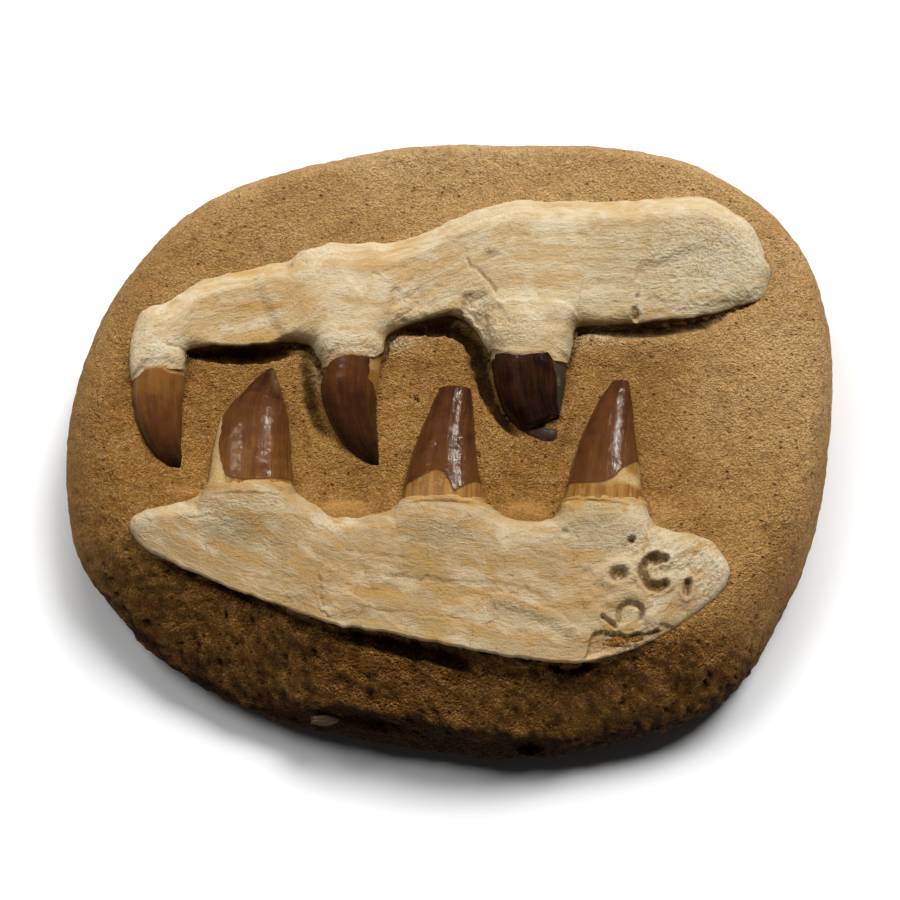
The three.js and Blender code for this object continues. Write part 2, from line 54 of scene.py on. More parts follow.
# %% [markdown]
# The numbers below are millimetres in the plan in which the jaws were drawn. The solids were then
# moved so that the block is centred. The upper jaw ends at x = 106 and the upper front tooth at
# y = -15.5 in that plan, so their boxes say how far everything moved, and each finished mesh
# makes the same move on its way to metres.

# %% From the drawn plan to the frame
MM = 0.001
JAW_END_X, TOOTH_END_Y = 106.0, -15.5
centring = np.array([
    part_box("upper_jaw_bone")[1].x / MM - JAW_END_X,
    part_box("upper_front_tooth")[0].y / MM - TOOTH_END_Y,
    0.0,
])
print("moved by (mm)", centring.round(3))

# %% [markdown]
# A few curves are used all over: a soft step, the rounded edge of a bone, and a smooth line through given points.
# They are the same formulas as the solids use.

# %% Curves
def smooth(low, high, x):
    """0 below low, 1 above high, and 3t^2 - 2t^3 in between, with t the share of the way."""
    t = np.clip((x - low) / (high - low), 0, 1)
    return t * t * (3 - 2 * t)


def rounded(share, blunt=2.0):
    """Height of a rounded edge: (1 - (1 - share)^blunt)^(1 / blunt), a quarter circle for 2."""
    return (1 - (1 - np.clip(share, 0, 1)) ** blunt) ** (1 / blunt)


def line_through(points, at, closed=False):
    """Uniform Catmull-Rom: from b to c the cubic with slopes (c - a)/2 and (d - b)/2. The places
    are given in whole and part spans. Past an open end the line goes straight on."""
    p = np.asarray(points, float)
    if closed:
        p = np.vstack([p[-1:], p, p[:2]])
    else:
        p = np.vstack([2 * p[0] - p[1], p, 2 * p[-1] - p[-2]])
    i = np.clip(np.asarray(at).astype(int), 0, len(p) - 4)
    f = (np.asarray(at) - i)[..., None]
    a, b, c, d = p[i], p[i + 1], p[i + 2], p[i + 3]
    return b + 0.5 * f * (c - a + f * (2 * a - 5 * b + 4 * c - d + f * (3 * (b - c) + d - a)))


def even_places(edges, count):
    """Places along several lines at once, in spans, so that their mean length grows evenly."""
    spans = len(edges[0]) - 1
    fine = np.linspace(0, spans, 60 * spans)
    steps = sum(np.linalg.norm(np.diff(line_through(e, fine), axis=0), axis=1) for e in edges)
    grown = np.concatenate([[0], np.cumsum(steps + 1e-4)])
    return np.interp(np.linspace(0, grown[-1], count), grown, fine)


def to_line(x, y, line):
    """Distance from each place to a bent line, and the signed distance to its nearest stretch,
    positive on the right of the way that the line runs. Also the distance run along the line."""
    line = np.asarray(line, float)
    best = np.full(x.shape, 1e9)
    side = np.zeros(x.shape)
    run = np.zeros(x.shape)
    start = 0.0
    for a, b in zip(line[:-1], line[1:]):
        way = b - a
        span = max(np.hypot(*way), 1e-6)
        ahead = ((x - a[0]) * way[0] + (y - a[1]) * way[1]) / span
        right = ((x - a[0]) * way[1] - (y - a[1]) * way[0]) / span
        held = np.clip(ahead, 0, span)
        away = np.hypot(ahead - held, right)
        # At a corner two stretches are equally near, and the one farther off its own line is right.
        level_with = np.abs(away - best) < 1e-6
        near = (away < best - 1e-6) | (level_with & (np.abs(right) > np.abs(side)))
        best = np.minimum(best, away)
        side = np.where(near, right, side)
        run = np.where(near, start + held, run)
        start += span
    return best, side, run


# %% [markdown]
# Sand and old bone are rough at every size. A repeatable roughness comes from value noise: a
# whole-number hash gives each corner of a cubic lattice its own number, and the places between
# are blended. Layers of it at halving sizes make a fractal. The cell noise gives each lattice
# cube one point, and the distance to the nearest point makes crumbs and pinholes.

# %% Roughness
def dice(i, j, k, seed):
    """A repeatable number from 0 to 1 for each whole-number place, by mixing its bits."""
    u = np.uint32
    h = i.astype(u) * u(73856093) ^ j.astype(u) * u(19349663) ^ k.astype(u) * u(83492791)
    h = h + u(seed * 40503 + 977)
    for shift, odd in ((15, 2246822519), (13, 3266489917)):
        h = (h ^ (h >> u(shift))) * u(odd)
    return (h ^ (h >> u(16))) / 4294967295.0


def noise(places, size, seed=0):
    """Value noise from -1 to 1 with lumps of the given size in mm."""
    q = np.asarray(places, float) / size
    i = np.floor(q)
    f = q - i
    f = f * f * (3 - 2 * f)
    i = i.astype(np.int64)
    total = 0.0
    for corner in range(8):
        step = [corner & 1, corner >> 1 & 1, corner >> 2 & 1]
        weight = np.prod([np.where(s, f[..., n], 1 - f[..., n]) for n, s in enumerate(step)], axis=0)
        total = total + weight * dice(i[..., 0] + step[0], i[..., 1] + step[1], i[..., 2] + step[2], seed)
    return 2 * total - 1


def fractal(places, size, layers=4, seed=0, fade=0.5):
    """Layers of noise, each at half the size of the last and fade times its height."""
    return sum(fade ** n * noise(places, size * 0.5**n, seed + 17 * n) for n in range(layers))


def cells(places, size, seed=0):
    """Distance to the nearest scattered point, in cell sizes, and that point's own number."""
    q = np.asarray(places, float) / size
    home = np.floor(q).astype(np.int64)
    best = np.full(q.shape[:-1], 9.0)
    own = np.zeros(q.shape[:-1])
    for n in range(27):
        cell = home + np.array([n % 3 - 1, n // 3 % 3 - 1, n // 9 - 1])
        i, j, k = (cell[..., m] for m in range(3))
        point = cell + np.stack([dice(i, j, k, seed + m) for m in (1, 2, 3)], axis=-1)
        away = np.linalg.norm(point - q, axis=-1)
        near = away < best
        best = np.where(near, away, best)
        own = np.where(near, dice(i, j, k, seed + 4), own)
    return best, own


# %% [markdown]
# Every piece becomes a mesh in the same way: an array of places, quads and triangles that name
# them, and marks, which are numbers or directions that the finish reads at each place.

# %% Making a mesh
def quads(rows, columns, wrap=True, start=0):
    """The quads of a grid of rows by columns places, its columns closing on themselves."""
    r = np.arange(rows - 1)[:, None] * columns + start
    c = np.arange(columns if wrap else columns - 1)[None, :]
    n = (c + 1) % columns
    return np.stack([r + c, r + columns + c, r + columns + n, r + n], -1).reshape(-1, 4)


def fan(pole, ring):
    """Triangles from one place to each side of a ring that closes on itself."""
    return np.stack([np.full(len(ring), pole), ring, np.roll(ring, -1)], -1)


def facing(points, four, three):
    """Normals at each place: the sum of the crossed diagonals and sides of its faces."""
    out = np.zeros_like(points)
    for faces in (four, three):
        if len(faces):
            a, b, c, d = (points[faces[:, n]] for n in (0, 1, 2, -1))
            cross = np.cross(c - a, d - b) if faces.shape[1] == 4 else np.cross(b - a, c - a)
            for n in range(faces.shape[1]):
                for axis in range(3):
                    out[:, axis] += np.bincount(faces[:, n], cross[:, axis], len(points))
    return out / (np.linalg.norm(out, axis=1, keepdims=True) + 1e-12)


def volume(points, four, three):
    """A sixth of the sum of a . (b x c) over the triangles, so positive if faces point out."""
    tri = np.vstack([three, four[:, [0, 1, 2]], four[:, [0, 2, 3]]])
    a, b, c = (points[tri[:, n]] for n in range(3))
    return float((a * np.cross(b, c)).sum() / 6)


def loose_edges(four, three):
    """How many sides of faces have no side of another face running the other way: 0 when the
    surface is closed and every face points the same way."""
    ways = []
    for faces in (four, three):
        for n in range(faces.shape[1]):
            ways.append(faces[:, [n, (n + 1) % faces.shape[1]]])
    ways = np.vstack(ways).astype(np.int64)
    there, back = ways[:, 0] << 32 | ways[:, 1], ways[:, 1] << 32 | ways[:, 0]
    return int((~np.isin(there, back)).sum() + len(there) - len(np.unique(there)))


def make_piece(name, node, slot, points, four, three, finish, **marks):
    """Puts the arrays into a smooth mesh that rides on the body and stands for its solid."""
    if volume(points, four, three) < 0:
        four, three = four[:, ::-1], three[:, ::-1]
    uneven_edges = loose_edges(four, three)
    mesh = bpy.data.meshes.new(name)
    mesh.vertices.add(len(points))
    mesh.vertices.foreach_set("co", ((points + centring) * MM).astype(np.float32).ravel())
    mesh.loops.add(four.size + three.size)
    mesh.loops.foreach_set("vertex_index", np.concatenate([four.ravel(), three.ravel()]).astype(np.int32))
    mesh.polygons.add(len(four) + len(three))
    starts = np.concatenate([np.arange(len(four)) * 4, four.size + np.arange(len(three)) * 3])
    mesh.polygons.foreach_set("loop_start", starts.astype(np.int32))
    mesh.update(calc_edges=True)
    mesh.validate()
    mesh.shade_smooth()
    for mark, values in marks.items():
        vector = values.ndim == 2
        data = mesh.attributes.new(mark, "FLOAT_VECTOR" if vector else "FLOAT", "POINT").data
        data.foreach_set("vector" if vector else "value", values.astype(np.float32).ravel())
    mesh.materials.append(finish)
    piece = bpy.data.objects.new(name, mesh)
    bpy.context.scene.collection.objects.link(piece)
    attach(piece, "root")
    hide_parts(node)
    size = np.ptp(points, axis=0).round(1)
    print(f"{name}: {2 * len(four) + len(three)} triangles,", size, "mm,", uneven_edges,
          "edges without a partner")
    return piece


# %% [markdown]
# Shader maths reads best as plain expressions. A Flow is one value on its way through a
# material, and each sign used on it adds the Math node that does the sum. Any other node comes
# from one method, which sets the node up first and then fills or links its sockets.

# %% Shader values
class Flow:
    """A socket's value, with Python's signs for Math nodes."""

    def __init__(self, tree, socket):
        self.tree, self.socket = tree, socket

    def math(self, operation, first, second=None, clamp=False):
        inputs = {0: first} if second is None else {0: first, 1: second}
        return node(self.tree, "Math", {"operation": operation, "use_clamp": clamp}, inputs)

    def __add__(self, other):
        return self.math("ADD", self, other)

    __radd__ = __add__

    def __sub__(self, other):
        return self.math("SUBTRACT", self, other)

    def __rsub__(self, other):
        return self.math("SUBTRACT", other, self)

    def __mul__(self, other):
        return self.math("MULTIPLY", self, other)

    __rmul__ = __mul__

    def __pow__(self, other):
        return self.math("POWER", self, other)


def node(tree, kind, settings=None, inputs=None, output=0):
    """Adds a node: its settings first, then the values or links of its sockets."""
    made = tree.nodes.new("ShaderNode" + kind)
    for name, value in (settings or {}).items():
        setattr(made, name, value)
    for name, value in (inputs or {}).items():
        if isinstance(value, Flow):
            tree.links.new(value.socket, made.inputs[name])
        else:
            made.inputs[name].default_value = value
    return Flow(tree, made.outputs[output])


class Finish:
    """A material in the making. Numbers that are the same all over go on the shader's sockets."""

    def __init__(self, name, **shine):
        self.material = bpy.data.materials.new(name)
        self.material.use_nodes = True
        self.tree = self.material.node_tree
        self.shader = self.tree.nodes["Principled BSDF"]
        for socket, value in shine.items():
            self.shader.inputs[socket.replace("_", " ")].default_value = value
        self.place = node(self.tree, "TexCoord", output="Object")

    def mark(self, name, output="Fac"):
        """What the mesh says at each place."""
        return node(self.tree, "Attribute", {"attribute_name": name}, output=output)

    def spread(self, place, scale):
        """A place stretched by its own factor each way."""
        return node(self.tree, "VectorMath", {"operation": "MULTIPLY"}, {0: place, 1: scale})

    def grain(self, size, detail=2.0, rough=0.5, place=None, warp=0.0):
        """Noise from 0 to 1 with lumps of that many millimetres."""
        inputs = {"Vector": place or self.place, "Scale": 1 / (size * MM), "Detail": detail,
                  "Roughness": rough, "Distortion": warp}
        return node(self.tree, "TexNoise", None, inputs)

    def grain_way(self, size):
        """The same noise as a direction, to bend other patterns by."""
        inputs = {"Vector": self.place, "Scale": 1 / (size * MM), "Detail": 2.0}
        return node(self.tree, "TexNoise", None, inputs, "Color")

    def pebbles(self, size, output="Distance", place=None):
        """Distance to the nearest of points scattered that many millimetres apart."""
        inputs = {"Vector": place or self.place, "Scale": 1 / (size * MM)}
        return node(self.tree, "TexVoronoi", None, inputs, output)

    def net(self, size, place):
        """Distance to the nearest side of the cells round such points, small along a net of lines."""
        inputs = {"Vector": place, "Scale": 1 / (size * MM)}
        return node(self.tree, "TexVoronoi", {"feature": "DISTANCE_TO_EDGE"}, inputs)

    def own_number(self, size):
        """A number from 0 to 1 that each of those points keeps for its whole grain."""
        return node(self.tree, "SeparateColor", None, {"Color": self.pebbles(size, "Color")})

    def step(self, value, low, high):
        """0 where the value is low, 1 where it is high, and smooth between."""
        inputs = {"Value": value, "From Min": low, "From Max": high}
        return node(self.tree, "MapRange", {"interpolation_type": "SMOOTHSTEP"}, inputs)

    def mix(self, share, first, second, blend="MIX"):
        """One colour over another by a share."""
        as_colour = [c if isinstance(c, Flow) else (*c, 1.0) for c in (first, second)]
        settings = {"data_type": "RGBA", "blend_type": blend}
        return node(self.tree, "Mix", settings, {0: share, 6: as_colour[0], 7: as_colour[1]}, 2)

    def bump(self, height, under=None):
        """A normal from a height in millimetres, over another normal."""
        inputs = {"Height": height, "Distance": MM, "Strength": 1.0}
        if under:
            inputs["Normal"] = under
        return node(self.tree, "Bump", None, inputs)

    def wear(self, **sockets):
        """Links what changes over the surface to the shader, and hands over the material."""
        for name, value in sockets.items():
            self.tree.links.new(value.socket, self.shader.inputs[name.replace("_", " ")])
        return self.material


# %% [markdown]
# ## The finish of the matrix
# The matrix is a weakly cemented phosphate sand: tan grains half a millimetre across and pinholes where grains fell
# out. The pinholes and the gaps between grains are painted dark as shade, and one mark paints near black shade in the
# grooves, crevices and breaks, below the ridge and on the near slope. Three sizes of noise give its colour. The
# mesh's own marks say where it is scraped smooth and where dust lies, with painted light on raised crumbs. They also
# say where the sand is paler, which is partly its own colour and partly painted light towards the back right.

# %% Matrix finish
def matrix_finish():
    f = Finish("Sandy matrix", Roughness=0.95, Specular_IOR_Level=0.10)
    own = f.own_number(0.58)
    own_coarse = f.own_number(1.25)
    dome = f.step(f.pebbles(0.58), 0.60, 0.05)
    coarse_dome = f.step(f.pebbles(1.25), 0.60, 0.05)
    sand = f.grain(0.85, 2.0, 0.65)
    crumb = f.grain(2.0, 3.0, 0.65)
    lump = f.grain(5.5, 3.0, 0.6)
    drift = f.grain(24.0, 3.0, 0.55)
    hole = f.step(f.pebbles(2.5), 0.26, 0.12) * f.step(f.own_number(2.5), 0.62, 0.78)
    pale = f.mark("pale")
    earth = f.mark("earth")
    scraped = f.mark("scraped")
    coarse = f.mark("coarse")
    # Paler sand is partly the sand's own dusty colour and partly painted light, lighter towards the back right where
    # the light comes from. The basin between the jaws and the near slope are less pale, partly as painted shade.
    fresh = f.mix(f.step(drift, 0.38, 0.62), (0.246, 0.112, 0.025), (0.302, 0.150, 0.037))
    dusty = f.mix(f.step(drift, 0.38, 0.62), (0.415, 0.234, 0.086), (0.478, 0.292, 0.120))
    colour = f.mix(pale, fresh, dusty)
    colour = f.mix(f.step(own, 0.45, 0.0) * 0.58, colour, f.mix(0.66, colour, (0.090, 0.040, 0.012)))
    colour = f.mix(f.step(own, 0.70, 0.98) * (0.34 + 0.22 * coarse), colour, (0.540, 0.350, 0.155))
    colour = f.mix(f.step(own_coarse, 0.90, 0.98) * 0.14, colour, (0.560, 0.390, 0.190))
    # Painted shade: the low places of the fine sand noise are darkened as shadow between the grains.
    between_grains = f.step(sand, 0.42, 0.28) * (0.55 + 0.35 * coarse)
    colour = f.mix(between_grains, colour, f.mix(0.70, colour, (0.070, 0.030, 0.009)))
    # Pinholes are dents in the bump and are also painted dark as shade.
    colour = f.mix(hole * (0.60 + 0.35 * coarse), colour, (0.050, 0.020, 0.006))
    colour = f.mix(scraped * 0.45, colour, (0.360, 0.185, 0.056))
    # Pale dust lies in the listed spots, and raised crumbs are painted lighter as painted light.
    colour = f.mix(f.mark("dust") * f.step(crumb, 0.40, 0.60), colour, (0.600, 0.450, 0.270))
    colour = f.mix(coarse, colour, f.mix(1.0, colour, (1.06, 0.92, 0.72), "MULTIPLY"))
    # Painted shade: the sand goes nearly black where this mark is high.
    colour = f.mix(earth, colour, f.mix(0.94, colour, (0.022, 0.009, 0.003)))
    grit = dome * (0.22 + 0.38 * own) + coarse_dome * own_coarse * (0.34 + 0.55 * coarse)
    rough = (sand - 0.5) * (0.9 + 2.0 * coarse) + (crumb - 0.5) * (0.8 + 0.9 * coarse)
    rough = rough + (lump - 0.5) * (0.7 + 0.5 * coarse)
    height = (rough + grit * (1.0 + 1.5 * coarse) - hole * 0.5) * (1.0 - 0.6 * scraped)
    return f.wear(Base_Color=colour, Normal=f.bump(height))


matrix_material = matrix_finish()

# %% [markdown]
# ## The finish of the bone
# Fossil bone is cream, with ochre that soaked in along its fibres and a whitish crust where the outer layer is
# weathered. The crust is also made brighter on the jaw ends and slopes that face the light, as painted light. The
# mesh carries a mark called fibre, a place measured along and across the jaw, so that the streaks follow the bone
# round its bends.

# %% Bone finish
def bone_finish():
    f = Finish("Fossil bone", Specular_IOR_Level=0.25)
    fibre = f.mark("fibre", "Vector")
    along = f.spread(fibre, (0.13, 1.0, 1.0))
    fine = f.grain(0.70, 3.0, 0.6, f.spread(fibre, (0.22, 1.0, 1.0)))
    streak = f.grain(3.0, 4.0, 0.62, along, 0.35)
    broad = f.grain(8.5, 3.0, 0.5, f.spread(fibre, (0.25, 1.0, 1.0)), 0.4)
    chalk = f.grain(1.0, 4.0, 0.65)
    patch = f.grain(9.0, 4.0, 0.58)
    flake = f.pebbles(2.6)
    bent = node(f.tree, "VectorMath", {"operation": "MULTIPLY_ADD"}, {
        0: f.grain_way(2.6), 1: (0.0022, 0.0022, 0.0), 2: f.spread(fibre, (0.42, 1.0, 1.0))})
    split = f.step(f.net(4.2, bent), 0.030, 0.0) * f.step(f.grain(7.5, 2.0, 0.5), 0.50, 0.60)
    split = split * (0.12 + 0.62 * f.mark("tan"))
    stain = f.step(f.grain(5.0, 4.0, 0.62, f.spread(fibre, (0.38, 1.0, 1.0)), 0.6), 0.49, 0.62)
    chalky = f.step(f.grain(7.0, 4.0, 0.56, f.spread(fibre, (0.50, 1.0, 1.0)), 0.3), 0.48, 0.70)
    speck = f.step(f.grain(0.8, 2.0, 0.5, warp=0.3), 0.31, 0.25)
    ochre = f.mark("ochre")
    crust = f.mark("crust")
    dirt = f.mark("dirt")
    colour = f.mix(f.step(streak, 0.38, 0.62), (0.425, 0.290, 0.130), (0.520, 0.408, 0.242))
    colour = f.mix(f.step(broad, 0.50, 0.62) * 0.60, colour, (0.455, 0.290, 0.108))
    colour = f.mix(f.step(patch, 0.50, 0.62) * 0.75, colour, (0.560, 0.470, 0.318))
    colour = f.mix(f.step(fine, 0.46, 0.60) * 0.22, colour, (0.580, 0.480, 0.320))
    colour = f.mix(f.step(fine, 0.44, 0.32) * 0.30, colour, (0.330, 0.205, 0.082))
    colour = f.mix(ochre * f.step(streak, 0.26, 0.56), colour, (0.425, 0.225, 0.056))
    # Whitish crust, partly real and partly painted light on the jaw ends that face the light.
    colour = f.mix(crust * f.step(chalk, 0.36, 0.60) * 0.85, colour, (0.670, 0.580, 0.420))
    tan = f.mark("tan") * (1.0 - 0.85 * crust)
    colour = f.mix(tan, colour, f.mix(0.72, colour, (0.262, 0.168, 0.066)))
    colour = f.mix(stain * (0.20 + 0.50 * f.mark("tan")), colour, (0.385, 0.215, 0.062))
    colour = f.mix(chalky * (0.25 + 0.25 * f.mark("tan")), colour, (0.600, 0.505, 0.340))
    colour = f.mix(split * 0.80, colour, (0.250, 0.130, 0.040))
    honey = f.mix(f.step(streak, 0.35, 0.62), (0.300, 0.150, 0.040), (0.440, 0.265, 0.095))
    colour = f.mix(f.mark("root") * 0.9, colour, honey)
    # On the jaws the dirt mark is partly real dirt and partly painted shade in hollows and under the front edge; on
    # the chip it is painted shade.
    colour = f.mix(dirt * f.step(chalk, 0.30, 0.60), colour, (0.170, 0.088, 0.030))
    colour = f.mix(speck * 0.50, colour, (0.220, 0.125, 0.046))
    # Painted shade: where this mark is high the bone is painted nearly black.
    colour = f.mix(f.mark("dim"), colour, (0.060, 0.042, 0.024))
    roughness = 0.68 + 0.20 * crust + (chalk - 0.5) * 0.2
    height = (fine - 0.5) * 0.30 + (chalk - 0.5) * (0.40 + 0.60 * crust) - speck * 0.16
    height = height + (streak - 0.5) * 0.20 + (patch - 0.5) * 0.8 + f.step(flake, 0.05, 0.16) * 0.07
    height = height - split * 0.16
    return f.wear(Base_Color=colour, Roughness=roughness, Normal=f.bump(height))


bone_material = bone_finish()

# %% [markdown]
# ## The finish of the teeth
# The enamel is glossy and brown, darker towards the tip, with fine lines that run from gum to
# tip. Under it the dentine is a dull honey colour. The mark called growth counts millimetres
# round the tooth and along it, and the mark called shade says how dark the enamel is.

# %% Tooth finish
def tooth_finish():
    f = Finish("Tooth enamel", Specular_IOR_Level=0.24, IOR=1.5)
    growth = f.mark("growth", "Vector")
    line = f.grain(0.46, 3.0, 0.6, f.spread(growth, (1.0, 0.05, 1.0)))
    band = f.grain(2.4, 3.0, 0.6, f.spread(growth, (1.0, 0.10, 1.0)), 0.2)
    cloud = f.grain(6.0, 3.0, 0.6)
    scuff = f.grain(0.8, 3.0, 0.62)
    shade = f.mark("shade") + (band - 0.5) * 0.65 + (cloud - 0.5) * 0.55
    enamel = f.mark("enamel")
    pale = f.mark("pale")
    brown = f.mix(f.step(shade, -0.1, 0.35), (0.182, 0.074, 0.017), (0.084, 0.029, 0.008))
    brown = f.mix(f.step(shade, 0.30, 0.70), brown, (0.036, 0.012, 0.0045))
    brown = f.mix(f.step(shade, 0.65, 1.0), brown, (0.008, 0.0038, 0.0025))
    brown = f.mix(f.step(line, 0.52, 0.66) * 0.16, brown, f.mix(0.30, brown, (0.220, 0.120, 0.060)))
    honey = f.mix(f.step(band, 0.38, 0.62), (0.170, 0.068, 0.012), (0.275, 0.132, 0.031))
    cream = f.mix(f.step(scuff, 0.35, 0.65), (0.400, 0.265, 0.095), (0.500, 0.370, 0.180))
    under = f.mix(f.mark("grey"), f.mix(pale, honey, cream), (0.048, 0.030, 0.019))
    colour = f.mix(enamel, under, brown)
    colour = f.mix(f.mark("dirt") * f.step(scuff, 0.42, 0.58), colour, (0.380, 0.280, 0.160))
    roughness = 0.64 - enamel * 0.45 + (scuff - 0.5) * 0.26 + (line - 0.5) * 0.34
    height = (line - 0.5) * 0.058 + (band - 0.5) * 0.05 + (scuff - 0.5) * 0.04
    height = height + (1.0 - enamel) * (scuff - 0.5) * 0.20
    return f.wear(Base_Color=colour, Roughness=roughness, Normal=f.bump(height))


tooth_material = tooth_finish()

# %% [markdown]
# ## The teeth
# Each tooth is a run of ovals carried from its root, hidden in the jaw, to its tip. Its left
# and right edges are smooth lines through the same points as the solid's. The enamel ends at the
# gum in an uneven margin: behind that line the surface drops by the enamel's thickness and the
# dentine shows. Chips are steps of the same kind.

# %% What the teeth measure
TOOTH_LEVEL, TIP_DIP, ROOT_LENGTH = 39.3, 1.5, 9.0
ENAMEL_THICK = 0.28
TEETH = {
    "upper_front_tooth": dict(
        collar=(4, 16), thickness=0.8, flare=1.03, lip_at=0.0, gap=0.5, honey=0.35, shade=(0.0, 0.42, 1.02),
        stations=[[[-101.3, 12.5], [-84.5, 13]], [[-101, 7.5], [-85, 8]], [[-99, 0], [-85, 0]],
                  [[-95, -7.5], [-85, -6.5]], [[-90, -12.5], [-84.5, -11]]],
        tip=[-84, -15.5],
        margin=[[-106, 13.2], [-101.7, 14.0], [-99.2, 15.8], [-96.7, 17.4], [-91.9, 17.8],
                [-88.3, 16.2], [-85.4, 16.8], [-80, 17]],
    ),
    "upper_middle_tooth": dict(
        collar=(5, 18), thickness=0.8, flare=1.04, lip_at=1.6, gap=0.5, honey=0.45,
        shade=(0.44, 0.62, 1.05),
        stations=[[[-40.3, 17.5], [-22, 17.5]], [[-40.8, 12.5], [-22.6, 12]], [[-39, 4.5], [-23, 5]],
                  [[-34, -5], [-22.5, -3]], [[-27.5, -11], [-22, -9]]],
        tip=[-21.5, -14.5],
        margin=[[-46, 12], [-41.5, 14.5], [-39.6, 17.6], [-38.2, 20.2], [-36.0, 21.2], [-33.0, 21.9],
                [-25.9, 22.0], [-25.1, 21], [-25.2, 17.6], [-25.7, 14.8], [-23.9, 13.6], [-22.9, 10.0],
                [-21.4, 7], [-18, 6]],
    ),
    "upper_back_tooth": dict(
        collar=(15.5, 19.5), thickness=0.8, flare=1.0, lip_at=1.0, gap=0.35, honey=0.35,
        shade=(0.80, 0.88, 1.0),
        stations=[[[14.2, 18.5], [38.2, 19]], [[15.2, 13], [37.8, 14]], [[17.5, 6], [36.5, 8]],
                  [[21.2, 0.6], [35.8, 4.5]], [[23.6, -1.8], [35, 2.8]]],
        tip=[29.0, -1.6],
        margin=[[9, 26], [15.4, 23.5], [18.6, 22.4], [21.8, 21.2], [24.1, 21.1], [27.0, 21.5], [31.6, 22.5],
                [33.3, 20.4], [34.0, 16.9], [34.5, 14.1], [34.7, 10.7], [35.2, 5], [36, 1]],
    ),
    "lower_front_tooth": dict(
        collar=(3, 13), thickness=0.68, flare=1.09, lip_at=5.9, gap=0.4, honey=0.7,
        shade=(0.16, 0.36, 0.74),
        stations=[[[-75.8, -15.5], [-49.4, -15.5]], [[-74.8, -7], [-50, -7]], [[-73, 2], [-51, 2]],
                  [[-68.8, 9], [-52.6, 10]], [[-62.5, 17], [-54.6, 17]]],
        tip=[-56.2, 22.8],
        margin=[[-71.5, 14], [-71.9, 4], [-72.0, -3], [-72.9, -7.5], [-71.4, -14.6], [-69.9, -18.8],
                [-67.7, -20.2], [-63.6, -20.9], [-58.3, -20.6], [-51.3, -19.3], [-44, -18]],
    ),
    "lower_middle_tooth": dict(
        collar=(4, 15), thickness=0.7, flare=1.15, lip_at=7.4, gap=0.2, pale=0.1, honey=0.95,
        shade=(0.36, 0.52, 0.74),
        stations=[[[-13.6, -18], [10.4, -18.5]], [[-12, -11], [9.2, -11.5]], [[-9.5, -3], [8.5, -3]],
                  [[-6.5, 5], [8, 5]], [[-3.4, 12.2], [7.5, 12.0]], [[-2.6, 13.5], [6.8, 13.3]]],
        tip=[2.3, 13.9],
        margin=[[-19, -19.5], [-13.7, -20.4], [-11.5, -20.2], [-9.6, -19.3], [-6.4, -18.0], [-3.6, -17.0],
                [-1.4, -18.3], [0.3, -21.6], [1.7, -24.6], [4.2, -23.0], [6.8, -20.9], [10.0, -19.5],
                [15, -18]],
    ),
    "lower_back_tooth": dict(
        collar=(4, 16), thickness=0.7, flare=1.15, lip_at=7.8, gap=0.3, pale=0.9, honey=1.0,
        shade=(0.30, 0.48, 0.66),
        stations=[[[37.8, -18], [61.1, -18.5]], [[40, -11], [60.6, -11.5]], [[43, -1.5], [59.5, -2]],
                  [[47.5, 8], [58.9, 7.5]], [[51.6, 14.4], [58.2, 14.4]], [[52.8, 16.0], [57.8, 16.0]]],
        tip=[55.3, 16.6],
        margin=[[32, -19], [39.0, -20.4], [42.0, -21.0], [44.9, -21.4], [47.4, -21.5], [51.1, -20.2],
                [53.8, -17.4], [57.2, -14.3], [60.1, -12.2], [66, -10]],
    ),
    "upper_back_tooth_tip": dict(
        thickness=0.62, flare=0, shade=(0.95, 1.0, 0.9),
        stations=[[[22.4, 0.2], [27.4, 1.5]], [[25.2, -2.8], [29.4, 0.6]], [[29.0, -4.8], [32.4, -0.2]],
                  [[33.6, -4.9], [34.8, -0.5]]],
        tip=[35.6, -2.7],
        margin=None,
    ),
}

# Steps in the enamel: the line of the break, how far the surface drops on its right, and where
# the drop runs out.
CHIPS = {
    "upper_back_tooth": [
        dict(line=[[38, 3.6], [34.5, 3.2], [31.6, 2.3], [30.6, 0.8], [31.6, -1]], drop=-0.7, reach=30),
    ],
    "lower_front_tooth": [
        dict(line=[[-80, 5], [-70.5, 7.6], [-67.5, 9.6], [-63.4, 10.9], [-59.4, 10.4], [-56, 8.8],
                   [-46, 7]], drop=-0.35, reach=30),
    ],
}


# %% The shape of a tooth
def blobs(x, y, spots):
    """Soft ovals: each is a bell exp(-d^2) of the distance in its own two half widths, and the
    highest counts."""
    out = np.zeros(x.shape)
    for cx, cy, rx, ry, high in spots:
        out = np.maximum(out, high * np.exp(-(((x - cx) / rx) ** 2) - ((y - cy) / ry) ** 2))
    return out


def tooth_frame(tooth):
    """The gum line's middle, the way into the jaw, and along that way each station's distance,
    sideways shift and half width, so that the root's oval can be found at any place."""
    ends = np.array(tooth["stations"], float)
    middles = ends.mean(axis=1)
    inward = middles[0] - middles[1]
    inward /= np.hypot(*inward)
    sideways = np.array([inward[1], -inward[0]])
    along = (middles - middles[0]) @ inward
    shift = (middles - middles[0]) @ sideways
    half = np.hypot(*(ends[:, 1] - ends[:, 0]).T) / 2
    back = [ROOT_LENGTH * 2]
    root = [half[0] * (1 + (tooth["flare"] - 1) * 2)]
    order = np.argsort(along)
    return dict(
        middle=middles[0], inward=inward, sideways=sideways,
        along=np.concatenate([along[order], back]),
        shift=np.concatenate([shift[order], [0]]),
        half=np.concatenate([half[order], root]),
    )


